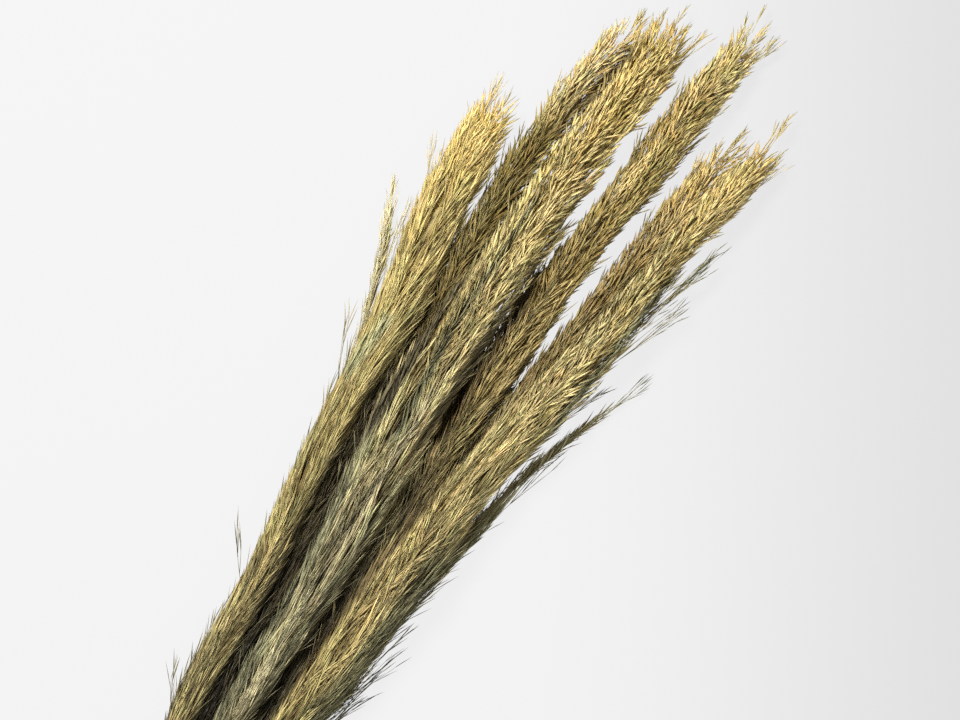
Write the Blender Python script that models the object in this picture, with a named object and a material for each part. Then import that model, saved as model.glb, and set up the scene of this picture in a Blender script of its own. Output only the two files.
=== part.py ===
"""A bundle of eight giant reed plumes, cut, dried and tied with twine, lying on a flat surface.

The reeds run along X, with their cut ends at -X and their tips at +X. Z is up and the surface is z = 0.
Lengths are in millimetres up to the point where a vertex is made. X counts from the middle of the plumes
until the whole bundle is centred at the end.
"""

import math
import random

import bmesh
import bpy

MM = 0.001
GAP = 0.3  # between pieces that touch

# The plume of each reed, from its base to its tip: x, y, z of its axis and how far its sprays reach.
PLUMES = {
    "left_gold": (
        (-440, 31, 23, 5),
        (-360, 46, 24, 12),
        (-240, 55, 27, 16),
        (-80, 74, 29, 16),
        (-40, 77, 29, 18),
        (0, 81, 28, 21),
        (80, 93, 23, 22),
        (120, 97, 21, 23),
        (160, 101, 19, 22),
        (184, 102, 16, 17),
        (206, 104, 12, 1),
    ),
    "left_under": (
        (-430, 18, 13, 5),
        (-320, 29, 12, 14),
        (-160, 41, 13, 16),
        (0, 52, 14, 18),
        (80, 57, 15, 18),
        (200, 56, 15, 17),
        (240, 53, 14, 16),
        (280, 46, 13, 13),
        (302, 44, 11, 1),
    ),
    "middle": (
        (-445, 7, 26, 5),
        (-320, 13, 30, 16),
        (-240, 14, 33, 19),
        (-160, 18, 35, 22),
        (-80, 24, 36, 24),
        (0, 26, 34, 24),
        (80, 24, 29, 23),
        (160, 22, 24, 22),
        (240, 18, 20, 21),
        (280, 15, 18, 19),
        (308, 18, 15, 13),
        (324, 21, 12, 1),
    ),
    "middle_under": (
        (-435, -7, 10, 5),
        (-320, -12, 11, 13),
        (-160, -16, 13, 17),
        (0, -18, 15, 19),
        (120, -22, 16, 19),
        (200, -29, 17, 19),
        (280, -37, 17, 20),
        (320, -41, 15, 17),
        (354, -38, 10, 1),
    ),
    "right_under": (
        (-440, -16, 13, 5),
        (-320, -26, 11, 11),
        (-240, -32, 11, 12),
        (-80, -42, 12, 13),
        (0, -49, 13, 15),
        (160, -64, 14, 16),
        (200, -70, 14, 15),
        (240, -75, 12, 12),
        (266, -78, 9, 1),
    ),
    "right_gold": (
        (-430, -25, 26, 5),
        (-320, -36, 30, 17),
        (-240, -40, 33, 21),
        (-160, -43, 35, 22),
        (-80, -50, 35, 20),
        (0, -62, 34, 20),
        (80, -74, 32, 19),
        (160, -84, 28, 17),
        (200, -90, 25, 17),
        (240, -96, 22, 16),
        (268, -100, 19, 12),
        (300, -102, 15, 1),
    ),
    "right_thin": (
        (-380, -38, 8, 4),
        (-280, -53, 7, 8),
        (-160, -68, 8, 9),
        (-80, -77, 8, 8),
        (-40, -86, 7, 7),
        (0, -98, 6, 5),
        (24, -107, 5, 4),
        (58, -120, 4, 1),
    ),
    "left_thin": (
        (-400, 40, 7, 4),
        (-320, 54, 6, 7),
        (-160, 77, 6, 7),
        (-80, 85, 6, 7),
        (-40, 92, 6, 7),
        (0, 105, 6, 6),
        (40, 118, 5, 5),
        (64, 129, 5, 4),
        (92, 142, 4, 1),
    ),
}
# Loose sprays that leave a plume: x of the root, and x, y, z of the tip.
LOOSE_SPRAYS = {
    "left_gold": (
        (-384, -342, 72, 34),
        (-264, -222, 91, 40),
        (-100, -30, 111, 40),
        (60, 132, 132, 30),
        (150, 222, 96, 26),
    ),
    "left_under": ((214, 292, 72, 16),),
    "middle": ((-40, 60, 50, 66), (220, 314, -12, 20), (200, 286, 38, 36)),
    "middle_under": ((262, 352, -62, 14),),
    "right_under": ((160, 226, -58, 26),),
    "right_gold": (
        (0, 124, -122, 22),
        (80, 174, -115, 24),
        (180, 262, -122, 16),
        (-150, -60, -36, 64),
    ),
    "right_thin": ((-272, -240, -78, 10), (-60, 36, -102, 8)),
    "left_thin": ((-40, 32, 98, 12),),
}
SIDES = {"right_thin": 8, "left_thin": 8, "right_under": 10}
MOST_SIDES = 12
RING_STEP = 19  # along a plume, between the rows of its sprays
POINT_STEPS = 0.6  # of that, from the last row to the tip
CORE_SHARE = 0.58  # of a plume's reach that its core fills
SLIM_TIP, SLIM_LENGTH = 0.35, 80  # the core's share of that at the tip, and the length that it grows in
SPRAY_LOW, SPRAY_HIGH = 56, 40  # how far ahead of its root a spray ends, low down and towards the tips
LOW_X, HIGH_X = -200, 0  # where the sprays shorten from one to the other
SPRAY_JITTER = 0.12
LONGEST_LEAN = 3.0  # how far ahead a spray ends at most, in times the plume's reach
TAPER_LEAST = 0.86  # of the reach at its root that a spray's end still has; it is shortened for that
SHORTEN = 0.85  # each time
REACH_JITTER = 0.06
SIDE_JITTER = 0.04  # of a side
TWIST = 0.08  # of a side, from one row to the next
MIDDLE_TURN = 0.75  # of a side, from a face's first corner to its middle
BEYOND_TIP = 60  # that a neighbour keeps clear of, ahead of a tip
SPRAY_RADIUS = 1.8  # of a loose spray at its root
ROOT_SHARE = 0.2  # of the plume's reach, where a loose spray starts
SPRAY_BEND = 0.62  # of its way outwards, that it has gone at half its length
SPRAY_TAPER = 0.8
SPRAY_STEPS, SPRAY_SIDES = 4, 4

# Plumes with a flat spot underneath, with the x where each spot starts.
REST_SPOTS = {
    "left_under": (-206, 110),
    "right_under": (-220, 100),
    "middle_under": (-120, 240),
}
SPOT_ROWS = 2
BARE_BEFORE = 3  # rows with no spray, which would cross the spot ahead of them

# The stems, from the cut end to the plume. They lie three, two and three at the tie.
STEM_SIDES = 8
STEM_CUT_RADIUS, STEM_TOP_RADIUS = 4.4, 3.2  # at the cut end and under the plume
TIE_X = -576
TIE_RADIUS = 3.8  # of a stem there
HELD_STRAIGHT = 16  # to each side of the tie
PITCH = 2 * TIE_RADIUS + GAP
TURN_SIZE = 2.4  # diameter of the twine
TIE_CLEARANCE = 0.55  # round the stems, which bend a little there
TIE_LOW_Z = TIE_RADIUS + TURN_SIZE + TIE_CLEARANCE + GAP
TIE_PLACES = {  # column from the middle, and row from the lowest
    "left_thin": (1, 0),
    "middle_under": (0, 0),
    "right_thin": (-1, 0),
    "left_under": (0.5, 1),
    "right_under": (-0.5, 1),
    "left_gold": (1, 2),
    "middle": (0, 2),
    "right_gold": (-1, 2),
}
CUT_X = {  # of the cut ends
    "left_thin": -726,
    "middle_under": -744,
    "right_thin": -732,
    "left_under": -738,
    "right_under": -722,
    "left_gold": -730,
    "middle": -741,
    "right_gold": -735,
}
CUT_SPREAD, CUT_LIFT = 1.45, 1.12  # of the places at the tie, in y and in z
JOINTS = {  # x of the stems' joints, where the stem swells
    "left_thin": (-668, -470),
    "middle_under": (-690, -512),
    "right_thin": (-640, -448),
    "left_under": (-702, -496),
    "right_under": (-655, -520),
    "left_gold": (-684, -478),
    "middle": (-648, -505),
    "right_gold": (-698, -488),
}
JOINT_SWELL = 0.45
JOINT_WIDTH = 5  # to each side of its middle
STEM_STEP = 42  # between the rings of a stem
BORE_RADIUS, BORE_DEPTH = 2.9, 14  # of the hollow at the cut end

# The tie
TURNS = 3
ARC_POINTS = 5  # at each corner
KNOT_SIZE = (5.6, 4.6, 3.4)
KNOT_Y, KNOT_LIFT = 2, 0.6
TAIL_SIDES, TAIL_STEPS = 6, 7
TAIL_RADIUS = 1.2
TAILS = {  # the middle and the end of each tail's bend: along, across, and height over the turns
    "tail_front": ((18, 9, 7), (36, 6, 1.5)),
    "tail_back": ((-16, -3, 8), (-31, -9, 2)),
}

COLOURS = {  # base colour and roughness
    "left_gold": ((0.50, 0.38, 0.17), 0.8),
    "left_under": ((0.26, 0.20, 0.09), 0.85),
    "middle": ((0.38, 0.32, 0.17), 0.8),
    "middle_under": ((0.36, 0.28, 0.13), 0.85),
    "right_under": ((0.27, 0.19, 0.10), 0.85),
    "right_gold": ((0.50, 0.36, 0.15), 0.8),
    "right_thin": ((0.30, 0.27, 0.17), 0.85),
    "left_thin": ((0.44, 0.35, 0.18), 0.8),
    "stem": ((0.42, 0.40, 0.22), 0.55),
    "twine": ((0.42, 0.31, 0.18), 0.9),
}


def smooth_value(stations, x, column):
    """One column of a table at x: a cubic from station to station, and a straight line beyond the ends."""
    starts = [station[0] for station in stations]
    values = [station[column] for station in stations]
    slopes = []
    for i in range(len(starts)):
        before, after = max(i - 1, 0), min(i + 1, len(starts) - 1)
        slopes.append((values[after] - values[before]) / (starts[after] - starts[before]))
    if x <= starts[0]:
        return values[0] + slopes[0] * (x - starts[0])
    if x >= starts[-1]:
        return values[-1] + slopes[-1] * (x - starts[-1])
    i = max(n for n, start in enumerate(starts[:-1]) if start <= x)
    span = starts[i + 1] - starts[i]
    t = (x - starts[i]) / span
    return (
        values[i] * (1 + 2 * t) * (1 - t) ** 2
        + values[i + 1] * t * t * (3 - 2 * t)
        + span * (slopes[i] * t * (1 - t) ** 2 - slopes[i + 1] * t * t * (1 - t))
    )


def tie_place(reed):
    """Y and z of a stem's middle at the tie."""
    column, row = TIE_PLACES[reed]
    return column * PITCH, TIE_LOW_Z + row * PITCH * math.sqrt(3) / 2


def stem_stations(reed):
    """The axis of a stem, from its cut end, through the tie, to the base of its plume."""
    y, z = tie_place(reed)
    lowered = STEM_CUT_RADIUS + (z - TIE_LOW_Z) * CUT_LIFT
    base, above = PLUMES[reed][:2]
    return (
        (CUT_X[reed], y * CUT_SPREAD, lowered),
        (TIE_X - HELD_STRAIGHT, y, z),
        (TIE_X, y, z),
        (TIE_X + HELD_STRAIGHT, y, z),
        base,
        above,
    )


def section(reed, x):
    """Y, z and radius of a reed at x, or None where it isn't. Its axis goes on for a while beyond the tip."""
    plume = PLUMES[reed]
    if x < CUT_X[reed] or x > plume[-1][0] + BEYOND_TIP:
        return None
    if x < plume[0][0]:
        stations = stem_stations(reed)
        radius = STEM_TOP_RADIUS + (STEM_CUT_RADIUS - STEM_TOP_RADIUS) * (
            (plume[0][0] - x) / (plume[0][0] - CUT_X[reed])
        )
        return smooth_value(stations, x, 1), smooth_value(stations, x, 2), radius + JOINT_SWELL
    radius = smooth_value(plume, x, 3) if x < plume[-1][0] else 0
    return smooth_value(plume, x, 1), max(smooth_value(plume, x, 2), 1), max(radius, 0)


def room(reed, x, angle):
    """How far a reed may reach from its axis before it comes to a neighbour's side or the surface."""
    y, z, radius = section(reed, x)
    across, up = math.cos(angle), math.sin(angle)
    limit = z / -up if up < 0 else math.inf
    for other in PLUMES:
        found = section(other, x) if other != reed else None
        if found is None:
            continue
        to_y, to_z = found[0] - y, found[1] - z
        along = to_y * across + to_z * up
        if along > 0:
            apart = math.hypot(to_y, to_z)
            share = apart**2 + radius**2 - found[2] ** 2 - 2 * GAP * apart
            limit = min(limit, share / (2 * along))
    return limit


def reach(reed, x, angle):
    """How far a plume's sprays stand out from its axis in this direction."""
    return min(section(reed, x)[2], room(reed, x, angle))


def place(reed, x, angle, distance):
    """The point this far from a reed's axis, in metres."""
    y, z, _ = section(reed, x)
    return (
        x * MM,
        (y + distance * math.cos(angle)) * MM,
        max(z + distance * math.sin(angle), 0) * MM,
    )


def material(name):
    colour, roughness = COLOURS[name]
    made = bpy.data.materials.new(name)
    made.use_nodes = True
    shader = made.node_tree.nodes["Principled BSDF"]
    shader.inputs["Base Color"].default_value = (*colour, 1)
    shader.inputs["Roughness"].default_value = roughness
    shader.inputs["Metallic"].default_value = 0
    return made


def object_of(bm, name, finish):
    mesh = bpy.data.meshes.new(name)
    bm.to_mesh(mesh)
    bm.free()
    mesh.materials.append(finish)
    made = bpy.data.objects.new(name, mesh)
    bpy.context.scene.collection.objects.link(made)
    return made


def spray_length(x):
    """How far ahead of its root a spray ends, at most."""
    low = min(max((HIGH_X - x) / (HIGH_X - LOW_X), 0), 1)
    return SPRAY_HIGH + (SPRAY_LOW - SPRAY_HIGH) * low


def swept(route, radii, sides):
    """A closed tube through these points, its rings upright to X, as a mesh in the making."""
    bm = bmesh.new()
    rings = []
    for (x, y, z), radius in zip(route, radii):
        ring = []
        for side in range(sides):
            angle = 2 * math.pi * (side + 0.5) / sides
            point = (x, y + radius * math.cos(angle), z + radius * math.sin(angle))
            ring.append(bm.verts.new([value * MM for value in point]))
        rings.append(ring)
    for one, two in zip(rings, rings[1:]):
        for side in range(sides):
            after = (side + 1) % sides
            bm.faces.new((one[side], one[after], two[after], two[side]))
    bm.faces.new(rings[0][::-1])
    bm.faces.new(rings[-1])
    bmesh.ops.recalc_face_normals(bm, faces=bm.faces)
    return bm


def bent(start, middle, end, steps):
    """Points along a curve from start to end that leans towards middle."""
    route = []
    for n in range(steps + 1):
        t = n / steps
        weights = ((1 - t) ** 2, 2 * t * (1 - t), t * t)
        route.append(
            [sum(w * v for w, v in zip(weights, values)) for values in zip(start, middle, end)]
        )
    return route


def loose_spray(reed, root_x, tip_x, tip_y, tip_z, finish):
    """A slender, bent spray with its root sunk in the plume's core."""
    y, z, radius = section(reed, root_x)
    end_y, end_z, _ = section(reed, tip_x)
    angle = math.atan2(tip_z - end_z, tip_y - end_y)
    distance = min(math.hypot(tip_z - end_z, tip_y - end_y), room(reed, tip_x, angle) - SPRAY_RADIUS)
    across, up = math.cos(angle), math.sin(angle)
    start = (root_x, y + ROOT_SHARE * radius * across, z + ROOT_SHARE * radius * up)
    end = (tip_x, end_y + distance * across, max(end_z + distance * up, SPRAY_RADIUS))
    middle = (
        (root_x + tip_x) / 2,
        start[1] + SPRAY_BEND * (end[1] - start[1]),
        start[2] + SPRAY_BEND * (end[2] - start[2]),
    )
    radii = [SPRAY_RADIUS * (1 - SPRAY_TAPER * n / SPRAY_STEPS) for n in range(SPRAY_STEPS + 1)]
    bm = swept(bent(start, middle, end, SPRAY_STEPS), radii, SPRAY_SIDES)
    return object_of(bm, "loose_spray", finish)


def join(body, extras, solver):
    """Joins the extras to the body by one Boolean union, applies it and removes them."""
    joined = bpy.data.collections.new("joined")
    bpy.context.scene.collection.children.link(joined)
    for extra in extras:
        bpy.context.scene.collection.objects.unlink(extra)
        joined.objects.link(extra)
    union = body.modifiers.new("joined", "BOOLEAN")
    union.operation = "UNION"
    union.operand_type = "COLLECTION"
    union.collection = joined
    union.solver = solver
    bpy.context.view_layer.update()
    with bpy.context.temp_override(object=body, active_object=body):
        bpy.ops.object.modifier_apply(modifier=union.name)
    for extra in extras:
        bpy.data.objects.remove(extra)
    bpy.data.collections.remove(joined)


def plume(reed):
    """A slim core, with a pointed spray raised from each of its faces and leaning towards the tip.

    Every second ring of the core is turned by half a side, so that the sprays don't stand in straight lines.
    """
    rng = random.Random("plume " + reed)
    sides = SIDES.get(reed, MOST_SIDES)
    turn = 2 * math.pi / sides
    start, tip = PLUMES[reed][0][0], PLUMES[reed][-1][0]
    count = round((tip - start) / RING_STEP) - 1
    step = (tip - start) / (count + POINT_STEPS)
    rows = [start + step * n for n in range(count + 1)]
    bare = set()  # row and side of each face with no spray

    bm = bmesh.new()
    rings = []
    for row, x in enumerate(rows):
        ring = []
        for side in range(sides):
            angle = turn * (side + (row % 2) / 2 + TWIST * row)
            slim = min(1, SLIM_TIP + (tip - x) / SLIM_LENGTH)
            share = CORE_SHARE * slim * (1 + rng.uniform(-1, 1) * REACH_JITTER)
            ring.append(bm.verts.new(place(reed, x, angle, share * reach(reed, x, angle))))
        rings.append(ring)
    for spot_x in REST_SPOTS.get(reed, ()):
        first = round((spot_x - start) / step)
        side = round(-sides / 4 - MIDDLE_TURN - TWIST * first) % sides
        for near in (side - 1, side, side + 1):
            bare |= {(first + n, near % sides) for n in range(-BARE_BEFORE, SPOT_ROWS)}
        for ring in rings[first : first + SPOT_ROWS + 1]:
            for corner in (side, (side + 1) % sides):
                ring[corner].co.z = 0
    for row in range(count):
        middle = (rows[row] + rows[row + 1]) / 2
        for side in range(sides):
            after = (side + 1) % sides
            corners = (
                rings[row][side],
                rings[row][after],
                rings[row + 1][after],
                rings[row + 1][side],
            )
            if (row, side) in bare:
                bm.faces.new(corners)
                continue
            shift = MIDDLE_TURN + TWIST * (row + 0.5) + rng.uniform(-1, 1) * SIDE_JITTER
            angle = turn * (side + shift)
            full = reach(reed, middle, angle)
            ahead = spray_length(middle) * (1 + rng.uniform(-1, 1) * SPRAY_JITTER)
            ahead = min(ahead, LONGEST_LEAN * full, (tip - middle) / 2)
            while reach(reed, middle + ahead, angle) < TAPER_LEAST * full:
                ahead *= SHORTEN
            distance = reach(reed, middle + ahead, angle) * (1 - rng.random() * REACH_JITTER)
            peak = bm.verts.new(place(reed, middle + ahead, angle, distance))
            for n in range(4):
                bm.faces.new((corners[n], corners[(n + 1) % 4], peak))
    bm.faces.new(rings[0][::-1])
    point = bm.verts.new(place(reed, tip, 0, 0))
    for side in range(sides):
        bm.faces.new((rings[-1][side], rings[-1][(side + 1) % sides], point))
    finish = material(reed)
    body = object_of(bm, "plume_" + reed, finish)
    join(body, [loose_spray(reed, *spray, finish) for spray in LOOSE_SPRAYS[reed]], "MANIFOLD")
    return body


def stem(reed, finish):
    """A slightly bent tube with swollen joints, hollow at its cut end."""
    start, end = CUT_X[reed], PLUMES[reed][0][0] - GAP
    joints = JOINTS[reed]
    count = round((end - start) / STEM_STEP)
    plain = [start + (end - start) * n / count for n in range(count + 1)]
    rows = [(x, 0) for x in plain if min(abs(x - joint) for joint in joints) > 2 * JOINT_WIDTH]
    for joint in joints:
        rows += [(joint - JOINT_WIDTH, 0), (joint, JOINT_SWELL), (joint + JOINT_WIDTH, 0)]
    rows.sort()

    def ring(x, radius=None, more=0):
        y, z, full = section(reed, x)
        own = full - JOINT_SWELL + more if radius is None else radius
        made = []
        for side in range(STEM_SIDES):
            angle = 2 * math.pi * (side + 0.5) / STEM_SIDES
            point = (x, y + own * math.cos(angle), z + own * math.sin(angle))
            made.append(bm.verts.new([value * MM for value in point]))
        return made

    bm = bmesh.new()
    rings = [ring(start + BORE_DEPTH, BORE_RADIUS), ring(start, BORE_RADIUS)]
    rings += [ring(x, more=more) for x, more in rows]
    for one, two in zip(rings, rings[1:]):
        for side in range(STEM_SIDES):
            after = (side + 1) % STEM_SIDES
            bm.faces.new((one[side], one[after], two[after], two[side]))
    bm.faces.new(rings[0][::-1])
    bm.faces.new(rings[-1])
    return object_of(bm, "stem_" + reed, finish)


def tie_outline():
    """Points and outward directions round the stems at the tie, in y and z."""
    corner_radius = TIE_RADIUS + TIE_CLEARANCE
    top = tie_place("middle")[1]
    corners = ((PITCH, TIE_LOW_Z, -90), (PITCH, top, 0), (-PITCH, top, 90), (-PITCH, TIE_LOW_Z, 180))
    found = []
    for y, z, first in corners:
        for n in range(ARC_POINTS):
            angle = math.radians(first + 90 * n / (ARC_POINTS - 1))
            across, up = math.cos(angle), math.sin(angle)
            found.append((y + corner_radius * across, z + corner_radius * up, across, up))
    return found


def turns_profile():
    """The outline of the turns of twine side by side: x and height over the stems."""
    half = TURN_SIZE / 2
    outline = [(-TURNS * half, 0), (TURNS * half, 0)]
    for turn in reversed(range(TURNS)):
        middle = (turn - (TURNS - 1) / 2) * TURN_SIZE
        for degrees in (30, 90, 150):
            angle = math.radians(degrees)
            outline.append((middle + half * math.cos(angle), half + half * math.sin(angle)))
    return outline


def turns_of_twine(finish):
    bm = bmesh.new()
    loops = []
    for y, z, across, up in tie_outline():
        loop = []
        for along, high in turns_profile():
            point = (TIE_X + along, y + across * high, z + up * high)
            loop.append(bm.verts.new([value * MM for value in point]))
        loops.append(loop)
    size = len(loops[0])
    for n, loop in enumerate(loops):
        following = loops[(n + 1) % len(loops)]
        for m in range(size):
            after = (m + 1) % size
            bm.faces.new((loop[m], loop[after], following[after], following[m]))
    bmesh.ops.recalc_face_normals(bm, faces=bm.faces)
    return object_of(bm, "tie_twine", finish)


def knot(finish, z):
    bm = bmesh.new()
    bmesh.ops.create_uvsphere(bm, u_segments=10, v_segments=6, radius=MM)
    bmesh.ops.scale(bm, vec=KNOT_SIZE, verts=bm.verts)
    bmesh.ops.translate(bm, vec=(TIE_X * MM, KNOT_Y * MM, z * MM), verts=bm.verts)
    return object_of(bm, "knot", finish)


def tail(finish, name, over):
    """A short end of twine, bent down to the stems."""
    middle, end = [(TIE_X + x, y, over + z) for x, y, z in TAILS[name]]
    route = bent((TIE_X, KNOT_Y, over + KNOT_LIFT), middle, end, TAIL_STEPS)
    return object_of(swept(route, [TAIL_RADIUS] * len(route), TAIL_SIDES), name, finish)


def tie():
    """Three turns of twine with a knot on top and two tails, joined into one body."""
    finish = material("twine")
    turns = turns_of_twine(finish)
    over = tie_place("middle")[1] + TIE_RADIUS + TIE_CLEARANCE + TURN_SIZE
    extras = [knot(finish, over + KNOT_LIFT)] + [tail(finish, name, over) for name in TAILS]
    join(turns, extras, "EXACT")
    return turns


def centre(objects):
    """Moves the bundle so that its box is centred over the origin, with all of it hanging on one empty."""
    bundle = bpy.data.objects.new("bundle", None)
    bpy.context.scene.collection.objects.link(bundle)
    corners = [vertex.co for made in objects for vertex in made.data.vertices]
    for axis in (0, 1):
        values = [corner[axis] for corner in corners]
        bundle.location[axis] = -(min(values) + max(values)) / 2
    for made in objects:
        made.parent = bundle


def main():
    for old in list(bpy.data.objects):
        bpy.data.objects.remove(old)
    made = [plume(reed) for reed in PLUMES]
    stem_finish = material("stem")
    made += [stem(reed, stem_finish) for reed in PLUMES]
    made.append(tie())
    centre(made)


main()
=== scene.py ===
"""Dresses a tied bundle of eight dried giant reed plumes, lying on a pale floor.

The reeds run along X, with their cut ends at -X and their tips at +X. The tables and the functions on them
are in millimetres, with X counted from the middle of the plumes; in_frame() turns points into the frame's.
"""

import math

import bpy
import numpy as np
from bpy.props import FloatProperty, FloatVectorProperty, IntProperty, PointerProperty
from bpy.types import Operator, Panel, PropertyGroup
from mathutils import Matrix, Vector


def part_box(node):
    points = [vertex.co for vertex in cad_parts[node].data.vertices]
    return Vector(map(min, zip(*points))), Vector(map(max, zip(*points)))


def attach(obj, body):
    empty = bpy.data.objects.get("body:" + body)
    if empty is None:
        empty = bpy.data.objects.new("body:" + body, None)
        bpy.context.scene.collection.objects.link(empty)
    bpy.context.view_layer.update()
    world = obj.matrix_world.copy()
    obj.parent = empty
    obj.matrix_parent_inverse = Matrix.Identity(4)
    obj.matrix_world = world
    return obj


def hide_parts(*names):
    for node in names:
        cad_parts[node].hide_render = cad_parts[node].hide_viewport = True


bl_info = {
    "name": "Bundle of Giant Reed Plumes",
    "version": (1, 0, 0),
    "blender": (4, 5, 0),
    "location": "View3D > Sidebar > Reeds",
    "description": "Grows dried reed plumes, their stems and their tie on the packed solids",
    "category": "Add Mesh",
}

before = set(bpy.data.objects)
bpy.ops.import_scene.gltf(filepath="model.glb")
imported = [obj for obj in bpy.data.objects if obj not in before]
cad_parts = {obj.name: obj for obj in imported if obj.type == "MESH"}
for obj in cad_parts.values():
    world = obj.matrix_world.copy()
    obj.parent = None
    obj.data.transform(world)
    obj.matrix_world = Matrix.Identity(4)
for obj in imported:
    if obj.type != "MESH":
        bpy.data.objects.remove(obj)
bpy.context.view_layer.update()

MM = 0.001


def number_of(name):
    """A whole number that differs from name to name, to start random draws and turns from."""
    return sum(map(ord, name))


def columns(table):
    """One dictionary for each column of a table of the reeds."""
    return [dict(zip(table, column)) for column in zip(*table.values())]


# The plume of each reed, from its base to its tip: x, y, z of its axis and how far its sprays reach.
PLUMES = {
    "left_gold": (
        (-440, 31, 23, 5), (-360, 45, 24, 12), (-240, 52, 27, 13.5), (-140, 66, 29, 14),
        (-80, 72, 29, 15), (-40, 74.5, 29, 17), (0, 78.5, 28, 20.5), (80, 92.5, 23, 22),
        (120, 96.5, 21, 20), (148, 98.5, 19.5, 19), (168, 100, 17.5, 16), (188, 102, 12, 2),
    ),
    "left_under": (
        (-430, 18, 13, 5), (-320, 29, 12, 14), (-160, 41, 13, 16), (0, 52, 14, 18), (80, 57, 15, 18),
        (200, 55, 15, 16), (240, 51, 14, 14.5), (280, 45, 13, 12), (302, 44, 11, 1),
    ),
    "middle": (
        (-445, 7, 26, 5), (-320, 9, 30, 14), (-240, 9, 33, 16), (-160, 15, 35, 20), (-80, 23, 36, 24),
        (0, 26, 34, 24), (80, 24, 29, 23), (160, 22, 24, 22), (240, 18, 20, 21), (280, 15.5, 18, 18.5),
        (304, 19, 15, 13), (323, 22, 12, 2),
    ),
    "middle_under": (
        (-435, -7, 10, 5), (-320, -12, 11, 13), (-160, -16, 13, 17), (0, -18, 15, 19), (120, -22, 16, 19),
        (200, -28, 17, 18), (270, -33, 17, 17.5), (312, -38.5, 15, 14), (338, -37.5, 12.5, 8),
        (359, -36.5, 10, 1),
    ),
    "right_under": (
        (-440, -16, 13, 5), (-320, -26, 11, 11), (-240, -32, 11, 12), (-80, -42, 12, 13),
        (0, -49, 14, 15), (80, -57, 17, 17), (160, -66, 18, 18), (200, -71, 17, 16), (240, -75, 12, 12),
        (266, -78, 9, 1),
    ),
    "right_gold": (
        (-430, -25, 26, 5), (-320, -36, 30, 17), (-240, -40, 33, 21), (-160, -43, 35, 22),
        (-80, -52, 35, 19.5), (0, -63, 34, 20), (80, -77, 32, 16), (160, -83, 28, 12), (200, -91, 25, 14),
        (236, -97, 22, 12.5), (262, -100, 19, 7), (294, -102, 15, 2),
    ),
    "right_thin": (
        (-380, -38, 8, 4), (-300, -52, 7, 8), (-230, -56, 7, 6), (-160, -66, 8, 8.5), (-112, -73, 8, 8),
        (-80, -77.5, 8, 5.5), (-40, -87.5, 7, 3.2), (-14, -95.5, 6, 1.8), (20, -108, 5, 1),
    ),
    "left_thin": (
        (-400, 40, 7, 4), (-320, 50, 6, 6), (-160, 72, 6, 6), (-80, 82, 6, 6), (-40, 90, 6, 6),
        (0, 104, 6, 6), (40, 118, 5, 6), (64, 129, 5, 4), (84, 138, 4, 1),
    ),
}
# Loose sprays that leave a plume: x of the root, x, y, z of the tip, and how green and shaded it is.
LOOSE_SPRAYS = {
    "left_gold": (
        (-384, -342, 72, 34, 0.4), (-264, -222, 91, 40, 0.4), (-100, -30, 111, 40, 0),
        (52, 122, 131, 30, 0), (114, 191, 110, 26, 0.1),
    ),
    "left_under": ((214, 276, 59, 16, 0),),
    "middle": ((-40, 60, 50, 66, 0), (226, 312, -9, 20, 0.2), (200, 286, 38, 36, 0)),
    # The seven that are fully shaded lie dark in the seam under the middle plume, as painted shade.
    "middle_under": (
        (270, 342, -60, 14, 0.5), (-50, 40, 2, 8, 1), (-20, 62, 2, 8, 1), (0, 80, 3, 9, 1),
        (16, 92, 2, 9, 1), (-8, 78, 9, 9, 1), (10, 86, 9, 9, 1), (24, 92, 8, 9, 1),
    ),
    "right_under": ((160, 226, -58, 26, 0.2),),
    "right_gold": (
        (-56, 32, -103, 16, 0.8), (0, 124, -122, 22, 0.9), (30, 132, -109, 25, 1), (46, 152, -112, 25, 1),
        (56, 164, -115, 24, 1), (60, 176, -118, 22, 1), (180, 262, -116, 16, 0.3),
    ),
    "right_thin": (
        (-320, -218, -74, 10, 1), (-333, -238, -76, 9, 1), (-345, -252, -76, 9, 1),
        (-356, -266, -76, 9, 1), (-364, -280, -76, 9, 1), (-370, -292, -74, 8, 1), (-130, -38, -98, 9, 1),
        (-40, 54, -125, 7, 0.9),
    ),
    "left_thin": ((-24, 68, 118, 14, 0),),
}
BEYOND_TIP = 60  # that a neighbour keeps clear of, ahead of a tip
GAP = 0.3  # between the solids of pieces that touch

# The stems, from the cut end to the plume. They lie three, two and three at the tie.
STEM_CUT_RADIUS, STEM_TOP_RADIUS = 4.4, 3.2  # at the cut end and under the plume
TIE_X, TIE_RADIUS = -576, 3.8  # and the radius of a stem there
HELD_STRAIGHT = 16  # to each side of the tie
PITCH = 2 * TIE_RADIUS + GAP
TURN_SIZE = 2.4  # diameter of the twine
TIE_CLEARANCE = 0.55  # round the stems
TIE_LOW_Z = TIE_RADIUS + TURN_SIZE + TIE_CLEARANCE + GAP
STEMS = {  # column from the middle and row from the lowest at the tie, x of the cut end, x of the two joints
    "left_thin": ((1, 0), -726, (-668, -470)),
    "middle_under": ((0, 0), -744, (-690, -512)),
    "right_thin": ((-1, 0), -732, (-640, -448)),
    "left_under": ((0.5, 1), -738, (-702, -496)),
    "right_under": ((-0.5, 1), -722, (-655, -520)),
    "left_gold": ((1, 2), -730, (-684, -478)),
    "middle": ((0, 2), -741, (-648, -505)),
    "right_gold": ((-1, 2), -735, (-698, -488)),
}
TIE_PLACES, CUT_X, JOINTS = columns(STEMS)
CUT_SPREAD, CUT_LIFT = 1.45, 1.12  # of the places at the tie, in y and in z
JOINT_SWELL = 0.45  # how far a stem swells at a joint
BORE_RADIUS, BORE_DEPTH = 2.9, 14  # of the hollow at the cut end
INSIDE_RIM, CUT_FACE = 0.2, 0.1  # in from the rim and along from the cut, what counts as bore and as cut

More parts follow.
